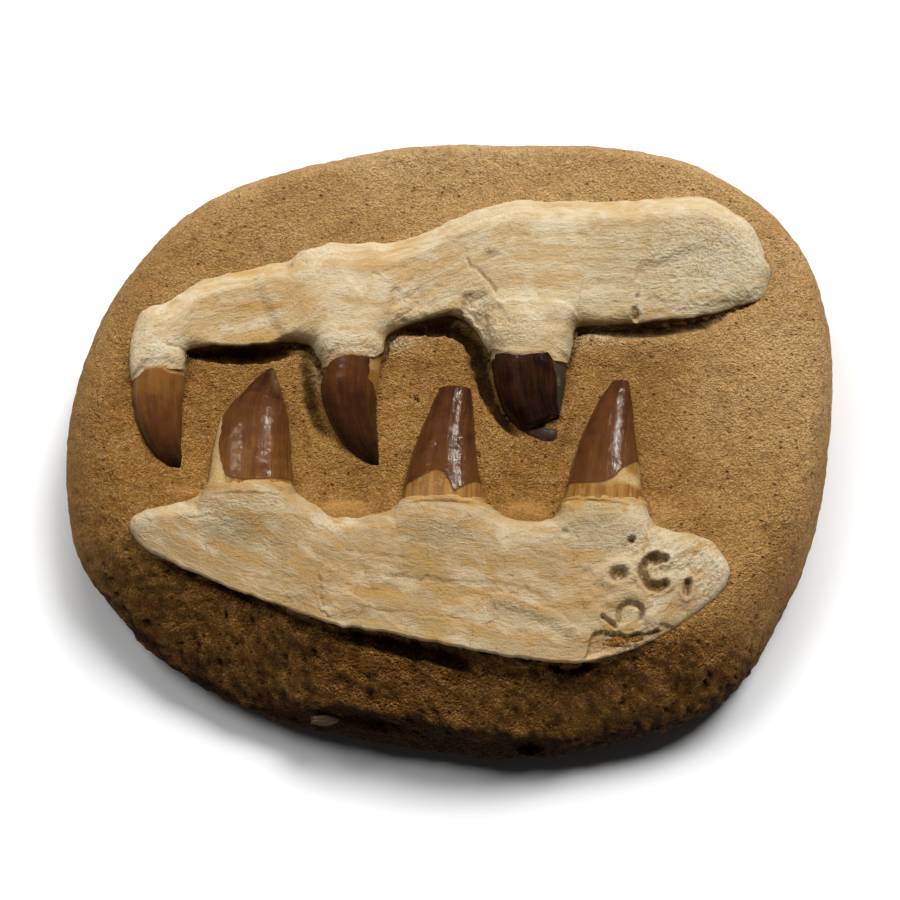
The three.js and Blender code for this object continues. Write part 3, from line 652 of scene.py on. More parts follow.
def root_dome(tooth, x, y, wider):
    """Level of the root's oval at a place: the tooth's level plus half its height times
    sqrt(1 - (across / half width)^2), with the width grown by wider. Also the place's distance
    into the jaw."""
    f = tooth_frame(tooth)
    away = np.stack([x - f["middle"][0], y - f["middle"][1]], -1)
    along = away @ f["inward"]
    across = away @ f["sideways"] - np.interp(along, f["along"], f["shift"])
    half = np.interp(along, f["along"], f["half"])
    dome = np.sqrt(np.clip(1 - (across / (half + wider)) ** 2, 0, 1))
    return TOOTH_LEVEL + half * tooth["thickness"] * dome, along, dome


def tooth_surface(name, tooth, rings=230, over=104, under=18):
    """Ovals between two edge lines: middle + half cos(turn), level + half height sin(turn)."""
    stations = tooth["stations"]
    left = [list(s[0]) for s in stations] + [tooth["tip"]]
    right = [list(s[1]) for s in stations] + [tooth["tip"]]
    has_root = tooth["flare"] > 0
    if has_root:
        f = tooth_frame(tooth)
        middle = f["middle"] + f["inward"] * ROOT_LENGTH
        half = (np.array(stations[0][1]) - np.array(stations[0][0])) / 2 * tooth["flare"]
        left.insert(0, list(middle - half))
        right.insert(0, list(middle + half))
    at = even_places([left, right], rings + 2)[1:-1]
    a, b = line_through(left, at), line_through(right, at)
    turn = np.concatenate([np.linspace(0, np.pi, over), np.linspace(np.pi, 2 * np.pi, under + 2)[1:-1]])
    middle, half = (a + b) / 2, (b - a) / 2
    wide = np.hypot(*half.T)
    share = np.clip((at - (1 if has_root else 0)) / (len(stations)), 0, 1)
    level = TOOTH_LEVEL - TIP_DIP * share
    cos, sin = np.cos(turn), np.sin(turn)
    points = np.empty((rings, len(turn), 3))
    points[..., :2] = middle[:, None, :] + half[:, None, :] * cos[None, :, None]
    points[..., 2] = level[:, None] + wide[:, None] * tooth["thickness"] * sin[None, :]
    run = np.concatenate([[0], np.cumsum(np.hypot(*np.diff(middle, axis=0).T))])
    growth = np.stack([
        (turn - np.pi / 2)[None, :] * np.maximum(wide, 2.0)[:, None],
        np.broadcast_to(run[:, None], (rings, len(turn))),
        np.zeros((rings, len(turn))),
    ], -1)
    flat = points.reshape(-1, 3)
    first = [[*((np.array(left[0]) + right[0]) / 2), level[0]]]
    last = [[*tooth["tip"], level[-1]]]
    flat = np.vstack([flat, first, last])
    four = quads(rings, len(turn))
    count = rings * len(turn)
    ring = np.arange(len(turn))
    three = np.vstack([fan(count, ring), fan(count + 1, ring + count - len(turn))[:, ::-1]])
    growth = np.vstack([growth.reshape(-1, 3), [[0, 0, 0]], [[0, run[-1], 0]]])
    shares = np.concatenate([np.repeat(share, len(turn)), [0, 1]])
    turns = np.concatenate([np.tile(turn, rings), [0, 0]])
    return flat, four, three, growth, shares, turns


def make_tooth(name, tooth, seed):
    """The ovals of a tooth, lowered where the enamel ends or is chipped, and dented a little."""
    points, four, three, growth, share, turn = tooth_surface(name, tooth)
    normal = facing(points, four, three)
    if volume(points, four, three) < 0:
        normal = -normal
    x, y = points[:, 0], points[:, 1]
    wobble = 0.22 * fractal(points, 1.6, 3, seed)
    enamel = np.ones(len(points))
    ledge = np.zeros(len(points))
    if tooth["margin"]:
        away, side, _ = to_line(x, y, tooth["margin"])
        # The margins run from left to right, so an upper crown is on their right, a lower one left.
        distance = (side if name.startswith("upper") else -side) + wobble
        enamel = smooth(-0.10, 0.10, distance)
        ledge = ENAMEL_THICK * (enamel - 1) + 0.05 * np.exp(-np.clip(distance, 0, None) / 0.6) * enamel
    chipped = np.zeros(len(points))
    for chip in CHIPS.get(name, ()):
        away, side, _ = to_line(x, y, chip["line"])
        past = -side + wobble
        cut = smooth(-0.12, 0.12, past) * (1 - smooth(chip["reach"] * 0.5, chip["reach"], past))
        cut = cut * (1 - smooth(1.2, 2.5, away - np.abs(side)))
        ledge = ledge + chip["drop"] * cut
        chipped = np.maximum(chipped, cut * (chip["drop"] < 0))
    facets = -0.02 * np.abs(np.sin(turn * 7.5 + seed)) * smooth(0.02, 0.3, share)
    dents = 0.14 * fractal(points, 5.0, 3, seed + 5) - 0.05 * smooth(0.55, 0.9,
                                                                     noise(points, 1.1, seed + 9))
    lines = np.column_stack([growth[:, 0], growth[:, 1] / 12, 0 * growth[:, 0]])
    dents = dents + 0.045 * noise(lines, 1.1, seed + 13) * enamel
    points = points + normal * (ledge + facets + dents)[:, None]
    low, middle, high = tooth["shade"]
    shade = np.interp(share, [0.05, 0.45, 0.95], [low, middle, high])
    pale = smooth(-0.1, 0.7, noise(points, 5.0, seed + 3)) * tooth.get("pale", 0.35)
    grey = smooth(32.5, 34.0, x) * (name == "upper_back_tooth")
    if name == "lower_front_tooth":
        dull = blobs(x, y, [[-54.6, 17.5, 1.7, 4.0, 0.9]])
        enamel, grey = enamel * (1 - dull), dull
        pale = np.maximum(pale, smooth(-69, -71, x))
    if name == "upper_back_tooth_tip":
        enamel, grey = 0.45 + 0 * enamel, np.ones(len(points))
    dirt = smooth(0.35, 0.75, noise(points, 2.2,
                                    seed + 11)) * (0.35 * (1 - enamel) + 0.5 * chipped * (name == "upper_back_tooth"))
    return make_piece(
        name + "_dressed", name, "enamel", points, four, three, tooth_material,
        growth=growth * MM, shade=shade + chipped * 0.12, enamel=enamel, pale=pale, dirt=dirt, grey=grey,
    )


for number, (name, tooth) in enumerate(TEETH.items()):
    make_tooth(name, tooth, 100 + 20 * number)

# %% [markdown]
# ## The jaw bones
# A jaw bone lies on a row of ribs, each from a place on its back edge to one on its front edge.
# Over a rib the surface rises from the outline as a rounded edge and is never lower than the
# collars of bone round its teeth. On that go the things that make it bone: broken layers with
# ragged edges, cracks along the fibres, pits, and porous patches.

# %% What the jaws measure
SEAT_DEPTH, SEAT_ROUND, UNDERCUT = 5.0, 8.0, 2.8
UPPER_JAW = dict(
    level=38.0, lip=1.5, back_round=15, blunt=(1.6, 2.3), fibre_from=0, tan=0.0,
    front_round=[[-102, 8], [-86, 8], [-79, 1.3], [-53, 1.3], [-44, 8], [-22, 8], [-14, 2.0], [5, 2.4],
                 [14, 8], [40, 8], [46, 3], [60, 5], [100, 7]],
    crest=[[-102, 9.5], [-86, 9], [-78, 7.6], [-56, 8], [-45, 9.6], [-24, 10.6], [-14, 10.2], [0, 11.6],
           [20, 13.5], [60, 13.2], [90, 12.5], [106, 9]],
    front=[[-103, 9], [-86, 8.6], [-79, 3.7], [-53, 4.2], [-44, 8.4], [-22, 8.4], [-14, 5], [5, 7], [13, 9],
           [39, 9], [46, 5.4], [60, 5], [106, 5]],
    ribs=[
        [[-103.4, 27.5], [-103.4, 27.5]], [[-102.2, 35], [-102.7, 20]], [[-100.3, 40], [-101.6, 15.5]],
        [[-97, 42.5], [-98, 15.3]], [[-92, 43.5], [-92, 17]], [[-87, 47.5], [-85.5, 17.6]],
        [[-82, 51], [-84, 21]], [[-78, 52.5], [-82, 26]], [[-62, 56.5], [-62, 27]],
        [[-53, 58.5], [-51, 28]], [[-49, 62], [-45, 27]], [[-43, 63.5], [-42, 22]],
        [[-38, 65], [-39.4, 19]], [[-31, 65], [-33, 21.4]], [[-24, 65], [-24.2, 21.4]],
        [[-18, 65], [-20.6, 24]], [[-13, 66.5], [-19.5, 30]], [[-7, 69], [-13, 34]],
        [[3, 74], [1, 36.5]], [[11, 77], [8, 32.5]], [[17, 78.5], [12, 25]], [[24, 80], [15, 21.5]],
        [[32, 79.5], [26, 19.8]], [[40, 79.5], [37.6, 20.5]], [[46, 79.5], [40.4, 27]],
        [[50, 79.5], [42.4, 33]], [[62, 80], [58, 34.5]], [[77, 81.5], [76, 36.5]],
        [[86, 80.5], [88, 39]], [[94, 76], [97, 42]], [[101, 69], [103, 45]], [[106, 54], [106, 54]],
    ],
)
LOWER_JAW = dict(
    level=37.5, lip=1.4, back_round=8, blunt=(1.7, 2.3), fibre_from=1, tan=0.85,
    front_round=[[-90, 1.6], [-60, 1.2], [50, 1.2], [62, 3.0], [88, 3]],
    crest=[[-100, 6], [-60, 8], [-40, 7.6], [0, 9], [50, 9], [88, 7.4]],
    front=[[-100, 3.4], [-60, 3.4], [-40, 4.2], [0, 5.0], [44, 5.2], [52, 4.2], [64, 3.6], [88, 4.5]],
    ribs=[
        [[-100.8, -33], [-100.8, -33]], [[-99.8, -29.5], [-99.6, -36]], [[-94.5, -26.5], [-94, -42]],
        [[-81, -23.5], [-80, -49]], [[-77.6, -20.5], [-75, -51.2]], [[-63, -20.6], [-66, -55]],
        [[-50.3, -20], [-58, -58]], [[-46.5, -22.8], [-51, -60.2]], [[-41, -26], [-44, -63.2]],
        [[-35, -29.8], [-36, -66.2]], [[-26, -29.3], [-27, -67.7]], [[-19, -27.5], [-18, -69.2]],
        [[-15, -25], [-11, -70.7]], [[-1, -25.4], [0, -73.2]], [[11.8, -25], [9, -75]],
        [[15, -27.5], [16, -76.2]], [[20, -30.3], [22, -77.2]], [[27, -31], [28, -77.9]],
        [[33.5, -29.5], [34, -78.4]], [[36.3, -25.6], [40, -78.6]], [[49.5, -25.2], [46, -77.4]],
        [[62.2, -24.6], [52, -75.8]], [[63.6, -28.5], [58, -73.6]], [[67, -33], [64, -70.8]],
        [[81, -36.8], [77, -62.5]], [[87, -43], [85.5, -55]], [[88.7, -48.8], [88.7, -48.8]],
    ],
)

# Broken edges of the outer layer: a line, the drop on its right, how far that drop lasts, how
# ragged the edge is, and where it fades at the line's ends.
UPPER_STEPS = [
    dict(line=[[59.0, 30], [60.8, 38], [60.2, 43], [61.6, 48], [59.5, 54]], drop=1.0, reach=30, ragged=1.3),
    dict(line=[[5.2, 25], [4.3, 33], [4.4, 38], [3.6, 44]], drop=1.7, reach=11, ragged=0.9),
    dict(line=[[-64, 48.5], [-56, 52], [-51.3, 54.2], [-48.2, 57.6], [-44.7, 63], [-37, 66]], drop=-0.9,
         reach=40, ragged=0.9),
    dict(line=[[14, 37], [15.6, 39.7], [22.9, 40.0], [35.7, 39.6], [39.6, 37.4], [42.6, 34.6],
               [42.0, 26]], drop=-0.9, reach=9, ragged=0.4),
    dict(line=[[62, 43], [66.3, 43.0], [80.9, 41.0], [94.1, 42.4], [104.5, 49]], drop=0.35, reach=6,
         ragged=0.8),
    dict(line=[[-20, 58], [-8, 61], [3, 62], [12, 65]], drop=0.45, reach=12, ragged=0.8),
]
UPPER_CRACKS = [
    dict(line=[[5.5, 56], [6.9, 52], [10.1, 49.9], [13.3, 46.4], [15.5, 41.3]], wide=0.6, deep=0.9),
    dict(line=[[37.6, 52.4], [39, 51.9], [40.6, 51.8]], wide=0.5, deep=0.9),
    dict(line=[[-92, 26.5], [-86, 25.2], [-83, 23.5]], wide=0.6, deep=0.8),
    dict(line=[[-86.5, 34.3], [-82, 33.8]], wide=0.4, deep=0.5),
    dict(line=[[-29, 47], [-20, 50.5], [-12, 53]], wide=0.4, deep=0.4),
    dict(line=[[20, 62], [34, 61], [52, 62.5]], wide=0.35, deep=0.3),
    dict(line=[[66, 60], [80, 61.5], [97, 60]], wide=0.3, deep=0.15),
    dict(line=[[70, 52], [84, 52.5], [92, 51]], wide=0.3, deep=0.15),
]
UPPER_DENTS = [
    [14.6, 57.0, 2.4, 1.8, -0.5], [60.2, 37.4, 1.5, 2.2, 1.4], [10.5, 34.5, 3.0, 2.0, 0.5],
    [-9.5, 41.5, 2.4, 3.6, 0.4], [-14.5, 35.5, 3.0, 1.8, 0.5], [-17, 44, 1.2, 1.6, 0.5],
    [-4, 46, 1.3, 1.0, 0.5], [-51.5, 54.0, 1.0, 1.4, 0.5], [67.5, 56, 1.2, 0.9, 0.5],
    [72.5, 49.5, 1.3, 1.0, 0.5],
    [104, 58, 1.6, 2.0, 1.0], [82, 66, 1.1, 0.9, 0.4],
]
UPPER_ROUGH = [[-13, 40, 7, 8, 0.6], [-46, 58, 12, 5, 0.3], [8, 38, 6, 7, 0.8], [77, 45, 22, 6, 0.3],
               [-95, 22, 7, 4, 0.22], [-32, 26, 10, 3, 0.2]]
UPPER_OCHRE = [[-62, 39.5, 20, 2.4, 0.9], [-47, 41.5, 8, 5.5, 0.7], [-66, 52.3, 14, 1.8, 0.8],
               [-50, 53, 3, 3, 0.8], [-20, 52, 16, 3, 0.5], [30, 47, 20, 2.0, 0.4], [88, 66, 14, 2.5, 0.35],
               [-58, 29.3, 20, 1.6, 0.7], [-8, 50, 24, 8, 0.30], [12, 34, 7, 4, 0.6], [-15, 38, 6, 4, 0.6]]
# The last two blobs are partly painted light on the jaw end that faces the light.
UPPER_CRUST = [[-97, 25, 8, 12, 0.7], [-44, 60, 9, 6, 0.9], [-28, 24, 12, 4, 0.8], [20, 30, 14, 6, 0.7],
               [10, 70, 22, 6, 0.5], [88, 58, 20, 12, 1.0], [99, 60, 10, 12, 1.1]]
UPPER_DIRT = [[13.2, 57.6, 1.6, 1.8, 0.7], [4.6, 36, 1.6, 4.5, 0.7], [60.4, 37.6, 1.8, 2.2, 0.7],
              [-51.5, 54.0, 1.3, 1.5, 0.7], [12, 50, 2.0, 1.4, 0.35]]

LOWER_STEPS = [
    dict(line=[[40.6, -81], [42.2, -76.3], [44.6, -69.2], [47.5, -68.2], [56, -69.2], [66, -67.6],
               [76, -64]], drop=1.7, reach=34, ragged=0.5),
    dict(line=[[-36.2, -67], [-38.9, -59.6], [-40.4, -53.2], [-38.4, -48.5], [-30, -47.4]], drop=-0.6,
         reach=40, ragged=1.2),
    dict(line=[[11.5, -56.2], [17.4, -57.0], [25.1, -59.4], [32.7, -62.7], [38.8, -67.2], [40, -71]],
         drop=-0.9, reach=5.5, ragged=0.35),
    dict(line=[[-92, -28.5], [-84, -26.2], [-70, -27.0], [-62, -26.6], [-53, -27.6]], drop=0.5, reach=5,
         ragged=0.35),
    dict(line=[[-21, -50.4], [-11.8, -51.4], [-2.6, -52.4], [6.7, -53.1], [15.9, -54.0]], drop=0.5,
         reach=9, ragged=0.4),
]
LOWER_CRACKS = [
    dict(line=[[-33.6, -42.6], [-24.3, -44.4], [-10.3, -46.0]], wide=0.4, deep=0.5),
    dict(line=[[-10.4, -39.9], [-6.3, -40.9], [-2.6, -42.3]], wide=0.4, deep=0.6),
    dict(line=[[-21.1, -50.5], [-11.8, -51.3], [-2.6, -52.4], [6.7, -53.0], [15.9, -53.8], [23.6, -55.6],
               [29.7, -58.1]], wide=0.5, deep=0.7),
    dict(line=[[-82.6, -32.5], [-76, -32.2], [-70, -32.4]], wide=0.5, deep=0.5),
    dict(line=[[-72, -35.3], [-68, -35.3]], wide=0.4, deep=0.4),
    dict(line=[[-53, -51.5], [-46, -51]], wide=0.4, deep=0.4),
    dict(line=[[24, -42], [32, -46], [38, -47]], wide=0.35, deep=0.4),
    dict(line=[[-30, -60.5], [-6, -63.6], [20, -67.5]], wide=0.4, deep=0.35),
    dict(line=[[16, -40], [24, -37.5], [33, -36.5]], wide=0.35, deep=0.35),
]
LOWER_DENTS = [
    [43.1, -50.2, 1.8, 1.4, 0.8], [36.3, -37.6, 1.4, 1.1, 0.8], [39.5, -39, 1.0, 0.9, 0.6],
    [78.5, -50, 1.3, 1.0, 0.4], [49.5, -44.0, 1.2, 1.0, 0.5], [42.5, -59.1, 1.9, 1.5, -0.8],
    [46.1, -54.6, 2.0, 1.6, 0.7], [66.5, -66.5, 2.2, 1.2, 0.9],
]
# Worn channels and pits of the back end: the line that each runs along, its half width and depth,
# and how high its rim is puffed up. The one of negative depth is the puffy ridge itself.
LOWER_CHANNELS = [
    dict(line=[[56.8, -39.9], [57.1, -39.7]], wide=1.15, deep=2.4, rim=0.0),
    dict(line=[[55.2, -42.9], [55.4, -43.4]], wide=1.9, deep=0.6, rim=0.0),
    dict(line=[[52.2, -50.9], [53.5, -50.6]], wide=2.3, deep=2.2, rim=0.8),
    dict(line=[[67.2, -45.9], [64.1, -45.2], [61.3, -46.8], [59.9, -49.6], [60.7, -52.3], [62.6, -54.2],
               [65.4, -54.4], [67.3, -53.6]], wide=1.4, deep=2.0, rim=0.8),
    dict(line=[[63.8, -46.2], [65.2, -46.0]], wide=2.1, deep=2.4, rim=0.0),
    dict(line=[[63.2, -54.4], [64.9, -54.6]], wide=2.1, deep=2.3, rim=0.0),
    dict(line=[[74.3, -53.1], [73.7, -56.0]], wide=1.4, deep=1.9, rim=0.6),
    dict(line=[[73.5, -57.0], [72.9, -61.4]], wide=1.3, deep=0.6, rim=0.0),
    dict(line=[[70.8, -48.9], [72.5, -49.3], [74.4, -47.8]], wide=0.6, deep=0.6, rim=0.0),
    dict(line=[[50.8, -59.6], [56.1, -56.7], [61.3, -59.7], [63.2, -66.0]], wide=2.3, deep=-0.9, rim=0.0),
    dict(line=[[52.4, -65.2], [52.9, -61.5], [55.8, -59.7], [59.6, -61.0], [59.4, -64.4]], wide=0.9,
         deep=1.5, rim=0.0),
    dict(line=[[47.5, -63.9], [51.5, -66.8]], wide=0.85, deep=1.6, rim=0.3),
]
LOWER_ROUGH = [[58, -71.5, 15, 4.2, 1.1], [66, -68, 8, 3, 0.7], [-38, -58, 4, 7, 0.45],
               [44, -60, 5, 6, 0.35],
               [-50, -58, 7, 3.5, 0.5], [40, -38, 12, 6, 0.3], [80, -46, 8, 7, 0.3]]
LOWER_OCHRE = [[-41, -50, 4.5, 12, 0.85], [44, -57, 5, 9, 0.7], [61, -50, 9, 8, 0.45],
               [-70, -42, 22, 7, 0.25],
               [0, -60, 40, 3, 0.35], [2, -50, 30, 10, 0.65], [8, -45, 14, 3.5, 0.45],
               [73, -59, 4, 2.5, 0.7], [52, -50.5, 3.5, 3, 0.7],
               [-62, -23.5, 10, 2.2, 0.5]]
# The blobs at the back end are partly painted light on slopes that face away from the light.
LOWER_CRUST = [[-70, -30, 28, 5, 0.7], [-38, -34, 9, 6, 0.8], [64, -44, 18, 13, 0.9],
               [80, -50, 13, 12, 1.1],
               [14, -36, 26, 7, 0.5], [20, -60, 18, 4, 0.5], [-96, -32, 6, 6, 0.6]]
LOWER_DIRT = [[58, -72.5, 15, 3.4, 1.0], [67, -68.5, 6, 2.5, 0.8], [-47, -60, 6, 3, 0.45],
              [52.8, -51.2, 2.2, 1.8, 0.55],
              [72.5, -60.5, 2.5, 1.6, 0.5]]


# %% The shape of a jaw
def broken_steps(x, y, steps, ragged_noise):
    """The sum of the drops on the right of each broken edge, fading over its reach."""
    drop = np.zeros(x.shape)
    for step in steps:
        away, side, run = to_line(x, y, step["line"])
        length = sum(math.dist(a, b) for a, b in zip(step["line"][:-1], step["line"][1:]))
        past = side + step["ragged"] * ragged_noise
        ends = smooth(0, 4, run) * (1 - smooth(length - 4, length, run))
        ends = np.where(away > 2.5 * np.abs(side) + 2, 0, ends)
        lasts = 1 - smooth(step["reach"] * 0.4, step["reach"], past)
        drop += step["drop"] * smooth(-0.28, 0.28, past) * lasts * ends
    return drop


def cracks(x, y, list_of_cracks, wander):
    """V-shaped grooves: deep times (1 - distance / wide), thinning out at both ends."""
    cut = np.zeros(x.shape)
    for crack in list_of_cracks:
        away, side, run = to_line(x, y, crack["line"])
        length = sum(math.dist(a, b) for a, b in zip(crack["line"][:-1], crack["line"][1:]))
        distance = np.hypot(side + 0.5 * wander, np.sqrt(np.clip(away**2 - side**2, 0, None)))
        ends = smooth(0, 2, run) * (1 - smooth(length - 2, length, run))
        cut = np.maximum(cut, crack["deep"] * np.clip(1 - distance / (crack["wide"] * 1.3), 0, 1) * ends)
    return cut


def dents(x, y, list_of_dents, wander):
    """Bowls: deep times (1 - d^2)^0.7 inside an uneven oval, d in its half widths."""
    cut = np.zeros(x.shape)
    for cx, cy, rx, ry, deep in list_of_dents:
        d = np.hypot((x - cx) / rx, (y - cy) / ry) + 0.22 * wander
        bowl = np.clip(1 - d * d, 0, 1) ** 0.7
        cut = np.where(np.abs(deep) * bowl > np.abs(cut), deep * bowl, cut)
    return cut


def channels(x, y, list_of_channels, wander):
    """Worn channels: deep times (1 - d^2)^0.7 with d the distance to the line over its half width,
    and round them a rim that swells and dies away as a bell."""
    cut, rim = np.zeros(x.shape), np.zeros(x.shape)
    for channel in list_of_channels:
        bent = line_through(channel["line"],
                            np.linspace(0, len(channel["line"]) - 1, 6 * len(channel["line"])))
        away, _, _ = to_line(x, y, bent)
        d = away / channel["wide"] + 0.12 * wander
        bowl = channel["deep"] * np.clip(1 - d * d, 0, 1) ** 0.7
        cut = np.where(np.abs(bowl) > np.abs(cut), bowl, cut)
        rim = np.maximum(rim, channel["rim"] * np.exp(-(((d - 1.5) / 0.6) ** 2)))
    return cut, rim


def eased(x, table):
    """A table of [x, value] without its corners: the mean of five places within 5 mm."""
    at, value = np.array(table).T
    return np.mean([np.interp(x + shift, at, value) for shift in (-5, -2.5, 0, 2.5, 5)], axis=0)


def nearest_edge(x, y, outline):
    """Distance to a closed outline, in slices so that the arrays stay small."""
    a = outline
    way = np.roll(outline, -1, axis=0) - a
    square = np.maximum((way**2).sum(axis=1), 1e-9)
    out = np.empty(len(x))
    for start in range(0, len(x), 4000):
        px, py = x[start:start + 4000, None] - a[:, 0], y[start:start + 4000, None] - a[:, 1]
        t = np.clip((px * way[:, 0] + py * way[:, 1]) / square, 0, 1)
        out[start:start + 4000] = np.sqrt(((px - t * way[:, 0]) ** 2 + (py - t * way[:,
                                                                                     1]) ** 2).min(axis=1))
    return out


def make_jaw(name, jaw, teeth, steps, crack_list, dent_list, channel_list, rough, ochre, crust, dirt, seed,
             ribs=600, over=124, under=12):
    """A jaw on its ribs: the rounded body less what broke off, raised to the collars of its teeth."""
    back_points = [r[0] for r in jaw["ribs"]]
    front_points = [r[1] for r in jaw["ribs"]]
    at = even_places([back_points, front_points], ribs)
    back, front = line_through(back_points, at), line_through(front_points, at)
    for edge, own in ((back, 1), (front, 2)):
        flat = np.column_stack([edge, np.full(len(edge), 50.0 * own)])
        crumble = 0.42 * fractal(flat, 3.6, 3, seed + own)
        for end in (edge[0], edge[-1]):
            crumble = crumble * smooth(0, 6, np.hypot(*(edge - end).T))
        out_way = edge - (back + front) / 2
        out_way = out_way / (np.hypot(*out_way.T)[:, None] + 1e-9)
        edge += out_way * crumble[:, None]
    outline = np.vstack([back[::2], front[::-2]])
    u = np.linspace(0, 1, over)
    share = u - 0.78 * np.sin(2 * np.pi * u) / (2 * np.pi)
    inner = slice(1, -1)
    top = back[inner, None, :] + (front - back)[inner, None, :] * share[None, :, None]
    low_share = 1 - np.arange(1, under + 1) / (under + 1)
    low = back[inner, None, :] + (front - back)[inner, None, :] * low_share[None, :, None]
    x, y = top[..., 0].ravel(), top[..., 1].ravel()
    shares = np.broadcast_to(share, top.shape[:2]).ravel()
    away = nearest_edge(x, y, outline)
    flat = np.column_stack([x, y, np.zeros(len(x))])
    wander = fractal(flat, 2.2, 3, seed + 30)
    slow_wander = fractal(flat, 5.0, 3, seed + 35)
    # The share of the way to the front, by rib lengths averaged over 51 ribs, has no creases.
    span = np.hypot(*(front - back).T)
    even_span = np.convolve(np.pad(span, 25, mode="edge"), np.ones(51) / 51, "valid")
    even_share = np.clip(shares * np.repeat((span / even_span)[inner], over), 0, 1)
    front_round = eased(x, jaw["front_round"])
    width = jaw["back_round"] + (front_round - jaw["back_round"]) * smooth(0, 0.85, even_share)
    blunt = jaw["blunt"][0] + (jaw["blunt"][1] - jaw["blunt"][0]) * even_share
    crest, front_high = eased(x, jaw["crest"]), eased(x, jaw["front"])
    body = (crest + (front_high - crest) * smooth(0.10, 1.15, even_share)) * rounded(away / width, blunt)
    drop = broken_steps(x, y, steps, wander) * smooth(0, 3, away)
    height = body - drop
    root, at_tooth = np.zeros(len(x)), np.zeros(len(x))
    for tooth_name in teeth:
        tooth = TEETH[tooth_name]
        level, along, dome = root_dome(tooth, x, y, 0.7)
        _, side, _ = to_line(x, y, tooth["margin"])
        behind = -side if jaw is UPPER_JAW else side
        past = np.minimum(behind - tooth["gap"],
                          along - tooth["lip_at"] + 1.2 * slow_wander) + 0.55 * wander
        shell = -0.85 + 0.97 * smooth(-1.4, 1.0, past) + 0.5 * smooth(1, 8, past)
        fade_from, fade_to = tooth["collar"] if jaw is UPPER_JAW else (5.0, 26.0)
        fade = 1 - smooth(fade_from, fade_to, along)
        if jaw is LOWER_JAW:
            fade = np.maximum(fade, 1 - smooth(9, 13, along))
        fade = fade * smooth(0.0, 0.35, dome)
        over_body = level + shell - jaw["level"] - height
        soft = 0.1 + 1.6 * smooth(0.5, 4, past)
        raised = 0.5 * (over_body + np.sqrt(over_body**2 + soft**2))
        lowered = np.where(past < 0.3, np.minimum(over_body, 0), 0) * (dome > 0.2) * (along > -1)
        height = height + raised * fade + lowered
        at_tooth = np.maximum(at_tooth, smooth(0.0, 0.3, dome) * (1 - smooth(1, 5, past)))
        near = smooth(0.0, 0.25, dome) * (1 - smooth(0.3, 5.0, past + 1.0 * wander + 1.5 * slow_wander))
        root = np.maximum(root, near * tooth["honey"])
    height = height - cracks(x, y, crack_list, wander)
    height = height - dents(x, y, dent_list, wander)
    channel_cut, channel_rim = channels(x, y, channel_list, wander)
    height = height - channel_cut + channel_rim
    # The free front edge is a sharp break that leans in under itself, by about its own shadow.
    at_front = smooth(0.5, 0.9, shares) * (1 - at_tooth)
    lip = (jaw["lip"] - (jaw["lip"] - 0.35) * at_tooth) * (1 - 0.6 * at_front)
    wall = rounded(away / lip)
    z = jaw["level"] + height * wall
    way_in = (back - front)[inner] / np.hypot(*(back - front)[inner].T)[:, None]
    room = smooth(6, 16, np.hypot(*(back - front)[inner].T))
    lean = UNDERCUT * (1 - wall) * at_front * np.repeat(room, over)
    x = x + lean * np.repeat(way_in[:, 0], over)
    y = y + lean * np.repeat(way_in[:, 1], over)
    if jaw["fibre_from"] == 0:
        across, edge = shares, back
    else:
        across, edge = 1 - shares, front
    run = np.concatenate([[0], np.cumsum(np.hypot(*np.diff(edge, axis=0).T))])[inner]
    span = span[inner]
    s = np.repeat(run, over)
    t = across * np.repeat(span, over)
    fibre_top = np.column_stack([s, t, np.zeros(len(s))])
    roughness = blobs(x, y, rough)
    stringy = np.column_stack([s / 9.0, t, np.zeros(len(s))])
    lift = 0.05 * fractal(stringy, 1.5, 3, seed + 50) + 0.13 * noise(np.column_stack([s / 7.0, t, 0 * s]),
                                                                     4.2, seed + 60)
    lift = lift + (0.06 + 0.55 * roughness) * fractal(np.column_stack([x, y, z]), 2.0, 4, seed + 70, 0.6)
    near, _ = cells(flat, 1.9, seed + 80)
    lift = lift - 0.75 * roughness * smooth(0.40, 0.15, near) * smooth(0.25, 0.5, roughness)
    z = z + lift * smooth(0.0, 2.0, away)
    xl, yl = low[..., 0].ravel(), low[..., 1].ravel()
    away_low = nearest_edge(xl, yl, outline)
    z_low = jaw["level"] - SEAT_DEPTH * rounded(away_low / SEAT_ROUND)
    rings = len(top)
    columns = over + under
    points = np.empty((rings, columns, 3))
    points[:, :over] = np.stack([x, y, z], -1).reshape(rings, over, 3)
    points[:, over:] = np.stack([xl, yl, z_low], -1).reshape(rings, under, 3)
    # The marks are worked out on the upper side, and the under side gets one value of each.
    def marks_of(values, fill):
        grid = np.full((rings, columns) + values.shape[1:], fill, float)
        grid[:, :over] = values.reshape((rings, over) + values.shape[1:])
        return grid.reshape((rings * columns,) + values.shape[1:])
    poles = np.array([[*back[0], jaw["level"]], [*back[-1], jaw["level"]]])
    flat_points = np.vstack([points.reshape(-1, 3), poles])
    four = quads(rings, columns)
    count = rings * columns
    ring = np.arange(columns)
    three = np.vstack([fan(count, ring), fan(count + 1, ring + count - columns)[:, ::-1]])
